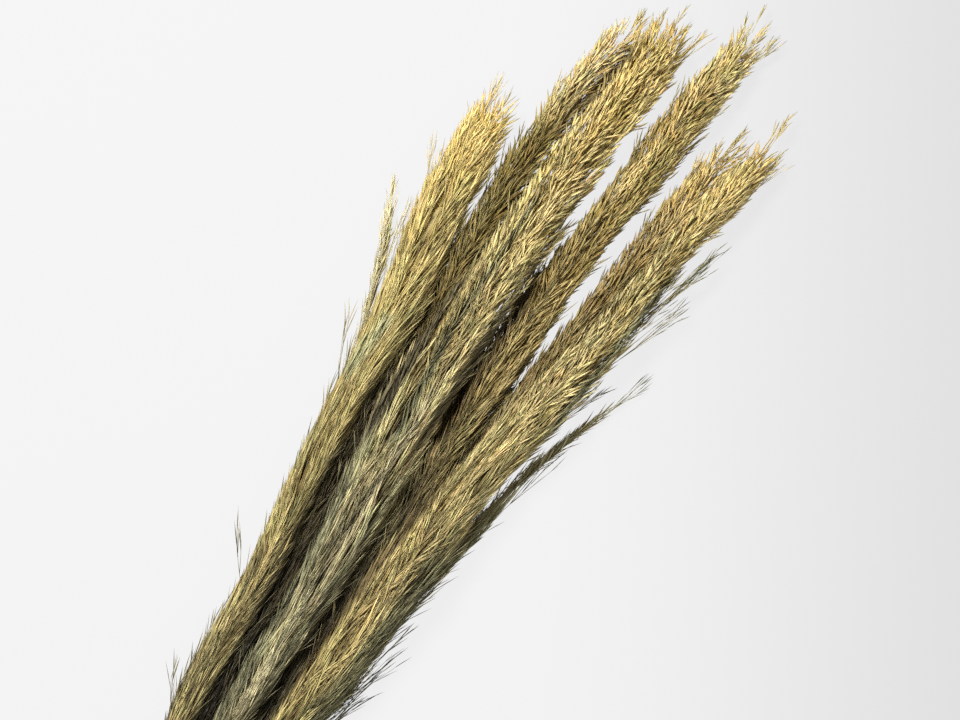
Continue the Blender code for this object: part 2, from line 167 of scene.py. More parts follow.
TIE_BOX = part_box("tie_twine")
LOWEST_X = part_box("stem_middle_under")[0].x
SHIFT = Vector((LOWEST_X - CUT_X["middle_under"] * MM, (TIE_BOX[0].y + TIE_BOX[1].y) / 2, 0))

# How a plume grows. Low down its spikelets are long and fine and lie along it; towards the tip they spread.
LOW_X, HIGH_X = -160, 180  # where the one turns into the other
FINE_FOR = {"left_gold": 120}  # more, where a plume's growth stays fine for longer
BRANCH_LENGTH = (130, 80)  # low down and towards the tip, as in the pairs that follow
SPIKELET_SPACING = (4.0, 7.0)  # along a branch
PER_BRANCH = 13  # spikelets on a branch, on average
OFFSET = (0.2, 1.4)  # how far the spikelets' roots stand off their branch
CURL = (0.02, 0.06)  # how far a spikelet's tip is bent outwards, as a share of its length
BARE_STALK = 0.12  # share of a branch, from its root, with no spikelets
SHORT_BRANCH, SHORTENING = 30, 0.7  # length of the branches at the tip, and how fast they lengthen behind it
LEAN = (3, 11)  # degrees that spikelets lean outwards
LOCK_LEAN = (6, 9)  # degrees that a lock's spikelets lean to one side together
SIDE_LEAN = (2, 7)  # degrees to the two sides of a branch, turn by turn
TIP_SPREAD, TIP_LENGTH = 8, 60  # more degrees at the very tip, and the length over which they come
TIP_FINER, TIP_LOOSER = 0.28, 0.22  # how much finer the spikelets and less bound the locks are at the tip
TIP_DENSER = 0.7  # how much closer together the locks are there
BLUNT, TIP_SAMPLES = 50, 24  # length of a plume's tip, over which its outer branches end, and places along it
GROWTH = {  # share of all spikelets, share of its table's reach that it fills, and place of its middle colour
    "left_gold": (0.165, 0.94, 0.62),
    "left_under": (0.12, 1.03, 0.8),
    "middle": (0.205, 1.02, 0.45),
    "middle_under": (0.18, 0.97, 0.84),
    "right_under": (0.105, 0.9, 0.74),
    "right_gold": (0.19, 1.02, 0.8),
    "right_thin": (0.017, 0.88, 0.5),
    "left_thin": (0.008, 0.7, 0.5),
}
SPIKELET_SHARES, FULLNESS, MIDDLE_AT = columns(GROWTH)
REACHING = {"middle_under": (-260, 84, 12, 0.5)}  # further out on one side: from x to x, angle, how much
REACHING_WIDTH = 50  # degrees to each side of that angle
# Gaps between two plumes, seen from above: x and y of places along the middle, and half the width there.
GAPS = {
    ("left_gold", "left_under"): ((66, 69.5, 0), (84, 70.8, 2.8), (144, 74.6, 2.8), (172, 77.5, 3.6)),
    ("middle", "middle_under"): (
        (76, -2, 0), (98, -2.2, 1.4), (144, -4.6, 3.8), (208, -4.2, 6.6), (264, -11.6, 5.2), (316, -8, 10),
    ),
    ("middle_under", "right_under"): (
        (-10, -34, 0), (30, -36, 3.5), (80, -39, 6.5), (144, -42, 7.5), (208, -52, 6), (250, -57, 4),
    ),
    ("right_gold", "right_thin"): ((-110, -62, 0), (-60, -72.5, 2.5), (-29, -81, 3), (0, -90, 4)),
}
HIGHEST = 72  # that growth may stand over the floor
DIRECTIONS, FIELD_STEP = 48, 4  # in which the room round a plume's axis is worked out, and how often along it
LEAST_ROOM = 0.3  # that growth has in every direction
TINY, SHORTEST = 1e-6, 1e-9  # in place of 0, where something is divided by it, or a vector by its length
LEAST, MOST = 0.9, 1.2  # of the room, that a spikelet's tip may take
SHARED_ROOM = 1.2  # of the room up to a neighbour, into which sprays reach among its own
FLOOR_CLEARANCE = 0.5  # of growth, over the floor
WIDEST, SHOULDER = 0.55, 0.2  # where a spikelet is widest, and where it starts to narrow to its root
SHOULDER_WIDTH = 0.8  # of its full width
FACING = 0.9  # least share of a face's normal that lies along the direction it is picked by
STALK_WIDTH = (0.55, 0.2)  # of a branch's stalk, at its root and its end

# The branches stand in locks, in layers: the layer's share of the spikelets, how many branches a lock
# has, and how far out they end, as a share of the plume's reach.
LAYERS = (
    (0.22, 4, (0.42, 0.68)),
    (0.36, 5, (0.68, 0.90)),
    (0.42, 5, (0.86, 1.02)),
)
# Angles round a plume's axis are in radians.
GOLDEN_TURN, LOCK_SCATTER = 2.399963, 0.3  # from one lock to the next, and to each side of that
FIRST_LOCK, LOCK_SAMPLES = 25, 500  # past the plume's base, and how many places are weighed
LAST_LOCK = (1, 4)  # past where a branch at its depth ends: the mean, and how much that differs
# The ends of a lock's branches differ by these: round the axis, inwards as a share, and along it in mm.
LOCK_WIDTH, LOCK_DEPTH, LOCK_LENGTH = 0.11, 0.06, 11
LOCK_DRIFT, BRANCH_DRIFT = 0.5, 0.22  # the angle that locks, and branches in them, wind round the axis
BRANCH_LENGTHS, SHORTEST_BRANCH = (0.7, 1.25), 12  # shares of the plain length, and the least in mm
CLEAR_OF_BASE = 4  # mm from a plume's base that its branches keep
BRANCH_WAVE, WAVES = 0.06, 5  # the angle that a branch swings about its way, and how fast
BRANCH_START = 0.45  # share of its depth that a branch starts at
BRANCH_AHEAD = 0.04  # share of a branch over which its direction is taken
BRANCH_LEAN = 0.45  # how much its branches lean otherwise than the lock, as a share of the lock's lean
STALK_TINTS, STALK_GREEN = (0.2, 0.6), 0.5  # the least tint, how much more it may be, and how green it is
SPIKELET_LENGTHS, SPIKELET_WIDTHS = (0.65, 1.2), (0.7, 1.25)  # shares of the plain ones
OUTWARD_SPREAD = 0.7  # of the spread to the sides
UNDERSIDE = -0.3  # sine of the angle under which a plume shows little
UNDERSIDE_SHARE = 0.4  # of the growth there that stays

CORE_SHARE, CORE_UNEVEN = 0.5, 0.12  # of the reach, and how much that differs from place to place
CORE_STOP = 45  # before the tip
CORE_SIDES, CORE_ROW = 14, 12  # and the length of its faces
CORE_TAPER, CORE_ENDS = 60, (0.3, 0.12)  # the length of its tapers, and what is left at its base and its end
CORE_POINT = 5  # how far past its end its taper points
CORE_LOOK = {"along": 0.5, "tint": 0.3, "lock": 0.3, "depth": 0.3}  # what its finish reads
MAIN_STALK_RADIUS = (2.6, 0.8)  # at the plume's base and near its tip
MAIN_STALK_SIDES, MAIN_STALK_STEPS, MAIN_STALK_STOP = 8, 32, 25  # and where it ends before the tip
MAIN_STALK_LOOK = {"tint": 0.5, "lock": 0.5, "depth": 0.8}

# What stands out of the plumes: wisps, which are single thin branches, and loose sprays with twigs.
LOOSE_LOOK = {"lock": 0.3, "depth": 0.75, "stalk": 0.4}  # what the finish reads at their stalks
LOOSE_TAPER = (1.2, 0.4)  # shares of a stalk's width, at its root and its end
LOOSE_LENGTHS, LOOSE_WIDTHS, LOOSE_CURL = (0.6, 0.95), (0.8, 1.2), 0.04  # of their spikelets
LOOSE_LEAN = 2  # degrees that their spikelets lean at least

WISPS_PER_MM = 0.14
WISP_LENGTH, WISP_LENGTHS = (70, 45), (0.6, 1.3)  # and shares of it
WISP_WIDTH, WISP_TINT = 0.5, 0.45  # of its stalk
WISP_SPIKELETS, WISP_SPREAD = 6, 18  # on each, and how many degrees they spread
WISP_FULLNESS = 0.55  # of a spikelet's width
WISP_SHADE, WISP_SHADES = 0.35, {"left_thin": 0}  # how green and shaded their spikelets are
WISP_FIRST, WISP_BEYOND = 40, 2  # past the base, and past the tip
WISP_LOWEST = -0.35  # angle from level, on both sides of a plume
WISP_START = 0.72  # share of the reach that it starts at
WISP_OUT, WISP_OUT_TAPER = 0.24, (60, 0.05)  # how far past the reach it may end; the taper's length and least
WISP_HELD, WISP_HELD_LEAST = (40, 8), 0.15  # how long a tip draws them in, from how far past it, and how much
WISP_DRIFT = 0.25  # the angle that they wind round the axis
WISP_BARE = 0.45  # share without spikelets

SPRAY_BEND = 0.62  # of its way outwards, that a loose spray has gone at half its length
ROOT_SHARE = 0.2  # of the plume's reach, where a loose spray starts
SPRAY_REACH = 0.85  # of the way to its place in the table
SPRAY_TWIGS, SPRAY_STEPS = (3, 7), 8  # twigs low down and towards the tip, and the steps along each
SPRAY_SPIKELETS, SPRAY_SPREAD = (2, 4), 11  # on each twig, and how many degrees they spread
SPRAY_FULLNESS = (0.5, 0.42)  # of a spikelet's width
SPRAY_BARE = 0.35  # share of a twig without spikelets
SPRAY_WIDTH, SPRAY_TINT = 0.6, 0.5  # of its stalks
TWIG_FIRST, TWIG_SPAN = 0.3, 0.55  # where along a spray its twigs start
TWIG_ASIDE, TWIG_FLATTENED = 0.075, (0, 1, 0.7)  # how far they leave it, and how much of that in x, y and z
TWIG_LENGTHS = (0.8, 1.05)  # shares of the rest of the spray
TWIG_BEND = 0.012  # of the spray's length

PLACES = ("low", "middle", "tip")
LOW_END, LOW_ENDS = -320, {"middle": -180}  # x up to which the colour is the low one, and where that differs
COLOURS = {  # of the spikelets, at each of these places; the three plumes that lie under the others are darker low down with painted shade
    "left_gold": ((0.42, 0.345, 0.155), (0.53, 0.43, 0.18), (0.88, 0.69, 0.28)),
    "left_under": ((0.16, 0.13, 0.06), (0.31, 0.235, 0.08), (0.92, 0.75, 0.38)),
    "middle": ((0.41, 0.355, 0.195), (0.66, 0.54, 0.25), (0.73, 0.56, 0.225)),
    "middle_under": ((0.20, 0.16, 0.075), (0.45, 0.345, 0.13), (0.93, 0.78, 0.39)),
    "right_under": ((0.20, 0.15, 0.075), (0.31, 0.23, 0.095), (0.80, 0.62, 0.28)),
    "right_gold": ((0.53, 0.425, 0.175), (0.63, 0.515, 0.25), (0.82, 0.655, 0.29)),
    "right_thin": ((0.32, 0.29, 0.15), (0.36, 0.33, 0.18), (0.46, 0.41, 0.23)),
    "left_thin": ((0.68, 0.60, 0.33), (0.80, 0.71, 0.44), (0.86, 0.76, 0.50)),
}
HIGH_BEFORE_TIP = 20  # where the tip's colour is full
PATCH_SCALE, PATCH_SHIFT = 22, 0.12  # of a noise, and how many metres it shifts the colours by
STALK_AND_SHADE_COLOUR, STALK_COLOURED = (0.15, 0.17, 0.10), 0.92  # and how much of it a full stalk shows; shaded loose spikelets take it too, as their green and as painted shade
SHADED, PLAIN, ROSY = (0.88, 1.0, 0.90), (1, 1, 1), (1.08, 0.96, 0.96)
TINTS = ((0, SHADED), (0.45, PLAIN), (0.8, PLAIN), (1, ROSY))  # of single spikelets
TINT_OF_ONE, TINT_OF_LOCK = 0.5, 7  # how much of it differs within a lock, and how fast from lock to lock
INNER_SHADE_LOW, INNER_SHADE_HIGH = (0.13, 0.10, 0.06), (0.82, 0.72, 0.50)  # painted shade: what is left of a colour deep inside, low down and towards the tip
# Colours of the streaks: a glaucous tint that the plumes have, two of painted light, and three of painted
# shade.
GLAUCOUS, PAINTED_LIGHT_GREY, PAINTED_LIGHT_GOLD = (0.34, 0.40, 0.26), (0.62, 0.56, 0.36), (0.95, 0.76, 0.36)
SHADE, GREEN_SHADE, DEEP_SHADE = (0.12, 0.085, 0.035), (0.13, 0.14, 0.08), (0.05, 0.04, 0.022)
# How light spikelets are: the mean, how much one, its lock and its tip differ, and how much less at a tip.
PLAIN_LIGHT, LIGHT_OF_ONE, LIGHT_OF_LOCK, LIGHT_OF_TIP, EVENER = 0.93, 1.2, 0.8, 0.3, 0.7
FULL_SHADE_DEPTH, NO_SHADE_DEPTH = 0.45, 1.02  # depths with the full painted shade of the inside, and with none
STREAK_ENDS, STREAK_SIDES = (-0.1, 0.15), (1.2, 0.3)  # where it is gone and full: of its run, of its width
STREAK_RAGGED = 0.5  # how much locks shift its sides
# Streaks of painted shade and painted light, where the plumes lie in shade or catch the light, and a few of a
# glaucous tint that they have: x and y of both ends, half the width, the colour, and how much of it.
STREAKS_OF_PAINTED_LIGHT_SHADE_AND_TINT = {
    "left_gold": (
        ((-72, 84), (-8, 80), 7, GLAUCOUS, 0.5),
        ((-440, 20), (-70, 57), 6.5, DEEP_SHADE, 0.75),
        ((45, 84), (105, 83), 9, SHADE, 0.3),
    ),
    "left_under": (
        ((-420, 20), (0, 54), 14, DEEP_SHADE, 0.8),
        ((190, 46), (280, 34), 7, SHADE, 0.7),
    ),
    "middle": (
        ((-100, 18), (-20, 25), 7, GLAUCOUS, 0.15),
        ((-350, 6), (0, 18), 4, PAINTED_LIGHT_GREY, 0.35),
        ((-360, -3), (-120, 0), 4, GREEN_SHADE, 0.55),
        ((-95, 22), (5, 32), 3.5, GREEN_SHADE, 0.85),
        ((-20, 32), (150, 32), 3.5, GREEN_SHADE, 0.6),
        ((-400, 12), (-60, 44), 9, GREEN_SHADE, 0.6),
        ((-110, 44), (60, 50), 8, DEEP_SHADE, 0.9),
        ((205, 45), (276, 35), 6, SHADE, 0.65),
        ((-80, 3), (60, 4), 6, DEEP_SHADE, 0.85),
        ((60, 5), (170, 4), 4, SHADE, 0.6),
        ((80, 21), (175, 20), 9, PAINTED_LIGHT_GOLD, 0.45),
    ),
    "middle_under": (
        ((-80, -6), (70, -2), 8, SHADE, 0.85),
        ((-400, -13), (-90, -16), 9, DEEP_SHADE, 0.8),
        ((-50, -25), (110, -27), 4.5, PAINTED_LIGHT_GOLD, 0.3),
        ((160, -20), (290, -26), 6, PAINTED_LIGHT_GOLD, 0.4),
    ),
    "right_under": (((-400, -20), (-90, -27), 9, DEEP_SHADE, 0.7),),
    "right_gold": (
        ((-30, -76), (150, -94), 5, GREEN_SHADE, 0.8),
        ((-360, -46), (-130, -63), 13, GREEN_SHADE, 0.75),
        ((-380, -10), (-80, -28), 6.5, SHADE, 0.9),
    ),
}

FIRST_SIDE = (0.28, 0.17, 0.94)  # a direction that no path starts in

# The stems' surface
STEM_SIDES = 24
STEM_STEP, FINE_STEP = 9, 1  # between a stem's rings, and at its joints and its sheaths' ends
JOINT_WIDTH = 5  # to each side of its middle
SHEATH_LENGTH, SHEATH_SLANT, SHEATH_TURN = 52, 5, 2  # and radians from one sheath's slant to the next
SHEATH_CLEAR, SHEATH_SHORT = 24, 4  # of the middle of the tie, and of the plume
SMOOTH_UNDER = 40  # degrees between faces
GROOVE_DEPTH, GROOVE_WIDTH = 0.22, 0.8  # of the ring at a joint
CANE_NOISES = {  # how much each is stretched along X, its scale and its detail
    "ribs": (25, 900, 2),
    "blotches": (0.3, 90, 3),
    "streaks": (0.04, 700, 2),
}
CANE_ROUGHNESS, CANE_BUMP = 0.6, 0.0004  # of the noises, and metres that they stand out
CANE_LIGHT, CANE_UNEVEN = 0.72, 0.55  # the darkest, and how much lighter the streaks make it
SHEATH_SHOWS, JOINT_SHOWS = 0.75, 0.7  # share of their colours

# The tie
TURNS, TWINE_SEED = 3, 8  # and what the random draws for its fibres start from
KNOT_SIZE = (5.6, 4.6, 3.4)  # half of it, along X, Y and Z
KNOT_Y, KNOT_LIFT = 2, 0.6  # its middle, and how far it is over the turns
TAILS = {  # the middle and the end of each tail's bend: along, across, and height over the turns
    "tail_front": ((18, 9, 7), (36, 6, 1.5)),
    "tail_back": ((-16, -3, 8), (-31, -9, 2)),
}
PLIES, PLY_SIDES = 3, 6
TWINE_STEP = 0.9  # between the rings of a ply
CORNER_POINTS, KNOT_POINTS, TAIL_STEPS = 13, 64, 30  # of a turn's corner, of the knot, and of a tail
FIBRES, FIBRE_LENGTHS, FIBRE_WIDTHS = 320, (1.5, 4), (0.09, 0.16)
FIBRE_ROOT, FIBRE_SLANTS = 0.4, (0.2, 1.4)  # how far out in the twine they start, and how much they stand out
FRAYED, FRAY_LENGTHS, FRAY_WIDTHS = 26, (4, 8), (0.25, 0.5)  # on each tail
FRAY_SPREAD = 0.22  # of their directions, in each of x, y and z
TWINE_GRAIN, TWINE_BUMP = 1500, 0.0003  # scale, and metres that it stands out
FIBRE_CURL, FRAY_CURL = 0.2, 0.1  # shares of their length
PLY_TINTS, PLY_LIGHT, PLY_UNEVEN = (0.2, 0.8), 0.8, 0.4  # of the plies, the darkest, and how much lighter

# The picture
PIXEL, PICTURE_WIDTH = 0.8, 960  # mm at the plumes' height, and pixels
PLUME_HEIGHT = 30  # over the floor
SENSOR = 36  # mm across
ALONG_RIGHT, ALONG_UP = (0.55, -0.835), (0.835, 0.55)  # the picture's right and up, along X and Y
LIT_X, LIT_Z = -0.1, 0.02  # metres from the middle of the plumes and over the floor, where the lights shine
KEY_TOWARD, KEY_DISTANCE = (0.25, 0.62, 1.15), 2.0  # metres, as all of the lights' sizes are
FILL_TOWARD, FILL_DISTANCE, FILL_SIZE = (0.1, -0.7, 0.9), 2.2, 1.6
FLOOR_SIZE, DIMMER_OVER = 30, 0.55  # metres, and the length over which it gets dimmer to the right
CAMERA_REACH = 0.05, 50  # metres, the nearest and the furthest that it sees


def smooth_values(stations, x, column):
    """One column of a table at each x: cubics from station to station, and straight lines beyond the ends."""
    starts = np.array([station[0] for station in stations], float)
    values = np.array([station[column] for station in stations], float)
    reach = np.arange(len(starts))
    before, after = np.maximum(reach - 1, 0), np.minimum(reach + 1, len(starts) - 1)
    slopes = (values[after] - values[before]) / (starts[after] - starts[before])
    i = np.clip(np.searchsorted(starts, x, side="right") - 1, 0, len(starts) - 2)
    span = starts[i + 1] - starts[i]
    t = (x - starts[i]) / span
    found = (
        values[i] * (1 + 2 * t) * (1 - t) ** 2
        + values[i + 1] * t * t * (3 - 2 * t)
        + span * (slopes[i] * t * (1 - t) ** 2 - slopes[i + 1] * t * t * (1 - t))
    )
    found = np.where(x <= starts[0], values[0] + slopes[0] * (x - starts[0]), found)
    return np.where(x >= starts[-1], values[-1] + slopes[-1] * (x - starts[-1]), found)


def tie_place(reed):
    """Y and z of a stem's middle at the tie."""
    column, row = TIE_PLACES[reed]
    return column * PITCH, TIE_LOW_Z + row * PITCH * math.sqrt(3) / 2


def stem_stations(reed):
    """The axis of a stem, from its cut end, through the tie, to the base of its plume."""
    y, z = tie_place(reed)
    lowered = STEM_CUT_RADIUS + (z - TIE_LOW_Z) * CUT_LIFT
    base, above = PLUMES[reed][:2]
    return (
        (CUT_X[reed], y * CUT_SPREAD, lowered),
        (TIE_X - HELD_STRAIGHT, y, z),
        (TIE_X, y, z),
        (TIE_X + HELD_STRAIGHT, y, z),
        base,
        above,
    )


def section(reed, x):
    """Y, z and radius of a reed at each x, and whether it is there."""
    plume = PLUMES[reed]
    base, tip = plume[0][0], plume[-1][0]
    stations = stem_stations(reed)
    low = x < base
    thicker = (STEM_CUT_RADIUS - STEM_TOP_RADIUS) * (base - x) / (base - CUT_X[reed])
    y = np.where(low, smooth_values(stations, x, 1), smooth_values(plume, x, 1))
    z = np.where(low, smooth_values(stations, x, 2), np.maximum(smooth_values(plume, x, 2), 1))
    spread = np.where(x < tip, np.maximum(smooth_values(plume, x, 3), 0), 0)
    radius = np.where(low, STEM_TOP_RADIUS + thicker + JOINT_SWELL, spread)
    return y, z, radius, (x >= CUT_X[reed]) & (x <= tip + BEYOND_TIP)


def blend(x, low_and_high):
    """Between the value low down on the bundle and the one towards its tip."""
    low, high = low_and_high
    share = np.clip((x - LOW_X) / (HIGH_X - LOW_X), 0, 1)
    return low + (high - low) * share * share * (3 - 2 * share)


class Envelope:
    """How far a plume's growth may stand out from its axis, at each x and in each direction."""

    def __init__(self, reed):
        self.reed = reed
        self.base, self.tip = PLUMES[reed][0][0], PLUMES[reed][-1][0]
        self.blunt = self.tip - BLUNT
        self.x = np.arange(self.base, self.tip + 2 * BLUNT, FIELD_STEP, dtype=float)
        self.y, self.z, self.reach, _ = section(reed, self.x)
        self.angles = 2 * math.pi * np.arange(DIRECTIONS) / DIRECTIONS
        self.across, self.up = np.cos(self.angles), np.sin(self.angles)
        limit = self.own_reach()
        for other in PLUMES:
            if other != reed:
                limit = np.minimum(limit, self.up_to_neighbour(other))
        for reeds, middle in GAPS.items():
            if reed in reeds:
                limit = np.minimum(limit, self.up_to_gap(middle))
        down, rising = self.up < -TINY, self.up > TINY
        limit[:, down] = np.minimum(limit[:, down], (self.z - FLOOR_CLEARANCE)[:, None] / -self.up[down])
        limit[:, rising] = np.minimum(limit[:, rising], (HIGHEST - self.z)[:, None] / self.up[rising] / MOST)
        self.limit = np.maximum(limit, LEAST_ROOM)

    def own_reach(self):
        """How far the plume reaches by its table, and further on the side that REACHING gives."""
        reach = smooth_values(PLUMES[self.reed], np.minimum(self.x, self.blunt), 3) * FULLNESS[self.reed]
        reach = np.repeat(reach[:, None], DIRECTIONS, axis=1)
        if self.reed in REACHING:
            first, last, toward, more = REACHING[self.reed]
            there = np.clip(np.minimum(self.x - first, last - self.x) / BLUNT + 0.5, 0, 1)
            turned = np.abs((np.degrees(self.angles) - toward + 180) % 360 - 180)
            reach *= 1 + more * np.outer(there, np.clip(1.5 - turned / REACHING_WIDTH, 0, 1))
        return reach

    def up_to_neighbour(self, other):
        """The room up to another plume, or its stem, divided by how far the two reach."""
        y, z, other_reach, there = section(other, self.x)
        to_y, to_z = y - self.y, z - self.z
        share = (np.hypot(to_y, to_z) ** 2 + self.reach**2 - other_reach**2) / 2
        along = np.outer(to_y, self.across) + np.outer(to_z, self.up)
        room = np.where(along > 0, share[:, None] / np.maximum(along, TINY), np.inf)
        return np.where(there[:, None], np.maximum(room, 1) * SHARED_ROOM, np.inf)

    def up_to_gap(self, middle):
        """The room up to a gap that stays clear, seen from above."""
        along, sideways, half = np.transpose(middle)
        to_gap = np.interp(self.x, along, sideways) - self.y
        room = np.maximum(np.abs(to_gap) - np.interp(self.x, along, half), 1)[:, None]
        room = room / np.maximum(np.outer(np.sign(to_gap), self.across), TINY)
        there = (self.x > along[0]) & (self.x < along[-1])
        return np.where(there[:, None], room, np.inf)

    def at(self, x, angle):
        """The limit at each x and angle, between the nearest places where it was worked out."""
        along = np.clip((x - self.x[0]) / FIELD_STEP, 0, len(self.x) - 1.001)
        turn = (angle / (2 * math.pi)) % 1 * DIRECTIONS
        i, j = along.astype(int), turn.astype(int) % DIRECTIONS
        s, t = along - i, turn - np.floor(turn)
        after = (j + 1) % DIRECTIONS
        return (self.limit[i, j] * (1 - t) + self.limit[i, after] * t) * (1 - s) + (
            self.limit[i + 1, j] * (1 - t) + self.limit[i + 1, after] * t
        ) * s

    def last_x(self, depth):
        """How far along the plume a branch at this share of its width ends."""
        x = np.linspace(self.blunt, self.tip, TIP_SAMPLES)
        share = smooth_values(PLUMES[self.reed], x, 3)
        share = np.maximum.accumulate((share / share[0])[::-1])[::-1]
        return np.interp(-np.clip(depth, 0, 1), -share, x)

    def point(self, x, angle, depth):
        """The point at this share of the way out from the axis."""
        y, z, _, _ = section(self.reed, x)
        distance = depth * self.at(x, angle)
        z = np.maximum(z + distance * np.sin(angle), FLOOR_CLEARANCE)
        return np.stack([x, y + distance * np.cos(angle), z], axis=-1)


def in_frame(points):
    """Points of the tables, in millimetres, as points of the frame, in metres."""
    return np.asarray(points) * MM + np.array(SHIFT)


def unit(vectors):
    return vectors / np.maximum(np.linalg.norm(vectors, axis=-1, keepdims=True), SHORTEST)


def outward_of(angle):
    return np.stack([np.zeros_like(angle), np.cos(angle), np.sin(angle)], axis=-1)


def sideways_of(angle):
    return np.stack([np.zeros_like(angle), -np.sin(angle), np.cos(angle)], axis=-1)


def bent(start, middle, end, steps):
    """Points along a curve from start to end that leans towards middle."""
    t = np.linspace(0, 1, steps + 1)[:, None]
    return (1 - t) ** 2 * np.array(start) + 2 * t * (1 - t) * np.array(middle) + t * t * np.array(end)


def by_node(operation, swapped=False):
    """A method that has a node work out a value and another, the other one first if swapped."""

    def apply(self, other):
        values = (other, self) if swapped else (self, other)
        return self.finish.math(operation, *values)

    return apply


class Value:
    """A shader socket that can stand in a sum or a product."""

    def __init__(self, finish, socket):
        self.finish, self.socket = finish, socket

    __add__ = __radd__ = by_node("ADD")
    __mul__ = __rmul__ = by_node("MULTIPLY")
    __sub__, __rsub__ = by_node("SUBTRACT"), by_node("SUBTRACT", swapped=True)
    __truediv__ = by_node("DIVIDE")


class Finish:
    """A material in the making. All of its nodes come from node()."""

    def __init__(self, name):
        self.material = bpy.data.materials.new(name)
        self.material.use_nodes = True
        self.tree = self.material.node_tree
        self.shader = self.tree.nodes["Principled BSDF"]

    def node(self, kind, settings=None, sockets=None, output=0):
        made = self.tree.nodes.new(kind)
        for name, value in (settings or {}).items():
            if name == "stops":
                self.set_stops(made.color_ramp, value)
            else:
                setattr(made, name, value)
        for key, value in (sockets or {}).items():
            self.feed(made.inputs[key], value)
        return Value(self, made.outputs[output])

    def set_stops(self, ramp, stops):
        while len(ramp.elements) < len(stops):
            ramp.elements.new(1)
        for element, (position, colour) in zip(ramp.elements, stops):
            element.position = position
            element.color = colour if len(colour) == 4 else (*colour, 1)

    def feed(self, socket, value):
        if isinstance(value, Value):
            self.tree.links.new(value.socket, socket)
        elif socket.type == "RGBA" and len(value) == 3:
            socket.default_value = (*value, 1)
        else:
            socket.default_value = value

    def set(self, **values):
        """Feeds the shader's sockets, with a _ for each space in a socket's name."""
        for name, value in values.items():
            self.feed(self.shader.inputs[name.replace("_", " ")], value)

    def math(self, operation, *values):
        return self.node("ShaderNodeMath", {"operation": operation}, dict(enumerate(values)))

    def tinted(self, colour, tint):
        """A colour times another."""
        return self.node("ShaderNodeVectorMath", {"operation": "MULTIPLY"}, {0: colour, 1: tint})

    def ramp(self, value, *stops):
        """A colour for each value, between the stops' colours."""
        return self.node("ShaderNodeValToRGB", {"stops": stops}, {0: value})

    def attribute(self, name):
        return self.node("ShaderNodeAttribute", {"attribute_name": name}, output="Fac")

    def place(self, scale=(1, 1, 1)):
        """Object coordinates, stretched."""
        where = self.node("ShaderNodeTexCoord", output="Object")
        return self.node("ShaderNodeMapping", sockets={"Vector": where, "Scale": scale})

    def x_and_y(self, where):
        """The first two coordinates of a place."""
        x = self.node("ShaderNodeSeparateXYZ", sockets={0: where})
        return x, Value(self, x.socket.node.outputs["Y"])

    def noise(self, vector, scale, detail=2, roughness=0.5):
        sockets = {"Vector": vector, "Scale": scale, "Detail": detail, "Roughness": roughness}
        return self.node("ShaderNodeTexNoise", sockets=sockets)

    def mix(self, share, one, two):
        """A colour between two, which go to the node's sockets 6 and 7."""
        return self.node("ShaderNodeMix", {"data_type": "RGBA"}, {0: share, 6: one, 7: two}, output=2)

    def scaled(self, colour, factor):
        """A colour made lighter or darker."""
        sockets = {0: colour, "Scale": factor}
        return self.node("ShaderNodeVectorMath", {"operation": "SCALE"}, sockets)

    def between(self, value, low, high):
        """0 below low, 1 above high, and smooth between them."""
        settings = {"interpolation_type": "SMOOTHSTEP"}
        return self.node("ShaderNodeMapRange", settings, {0: value, 1: low, 2: high})

    def bump(self, height, distance, strength=1.0):
        sockets = {"Height": height, "Distance": distance, "Strength": strength}
        return self.node("ShaderNodeBump", sockets=sockets)


def start_piece():
    """Leaves edit mode and deselects all, so that the next primitive is worked on alone."""
    if bpy.context.object and bpy.context.object.mode != "OBJECT":
        bpy.ops.object.mode_set(mode="OBJECT")
    bpy.ops.object.select_all(action="DESELECT")


def pick(kind, test):
    """Selects the vertices, edges or faces of the edited mesh that pass a test, and no others."""
    edited = bpy.context.object
    bpy.ops.mesh.select_mode(type=kind)
    bpy.ops.mesh.select_all(action="DESELECT")
    bpy.ops.object.mode_set(mode="OBJECT")
    parts = {"VERT": "vertices", "EDGE": "edges", "FACE": "polygons"}[kind]
    for part in getattr(edited.data, parts):
        part.select = bool(test(edited.data, part))
    bpy.ops.object.mode_set(mode="EDIT")


def divide_lengthwise(axis, longer_than, cuts):
    """Cuts the long edges of the edited mesh, along X for 0 and along Z for 2, into even rows."""

    def lengthwise(mesh, edge):
        one, two = [mesh.vertices[v].co for v in edge.vertices]
        return abs(one[axis] - two[axis]) > longer_than

    pick("EDGE", lengthwise)
    bpy.ops.mesh.subdivide(number_cuts=cuts)


def coordinates(mesh):
    points = np.empty(len(mesh.vertices) * 3)
    mesh.vertices.foreach_get("co", points)
    return points.reshape(-1, 3)


def new_object(name, data):
    made = bpy.data.objects.new(name, data)
    bpy.context.scene.collection.objects.link(made)
    return made


def keep_values(mesh, name, values):
    """Gives the mesh a value for each vertex, for its finish to read."""
    attribute = mesh.attributes.new(name, "FLOAT", "POINT")
    attribute.data.foreach_set("value", np.asarray(values, np.float32))


def pattern(piece):
    """A piece modelled upright, as points along X and triangles to copy, after which it is removed."""
    mesh = piece.data
    mesh.calc_loop_triangles()
    faces = np.empty(len(mesh.loop_triangles) * 3, np.int32)
    mesh.loop_triangles.foreach_get("vertices", faces)
    points = coordinates(mesh)[:, [2, 0, 1]]
    bpy.data.objects.remove(piece)
    return points, faces.reshape(-1, 3)


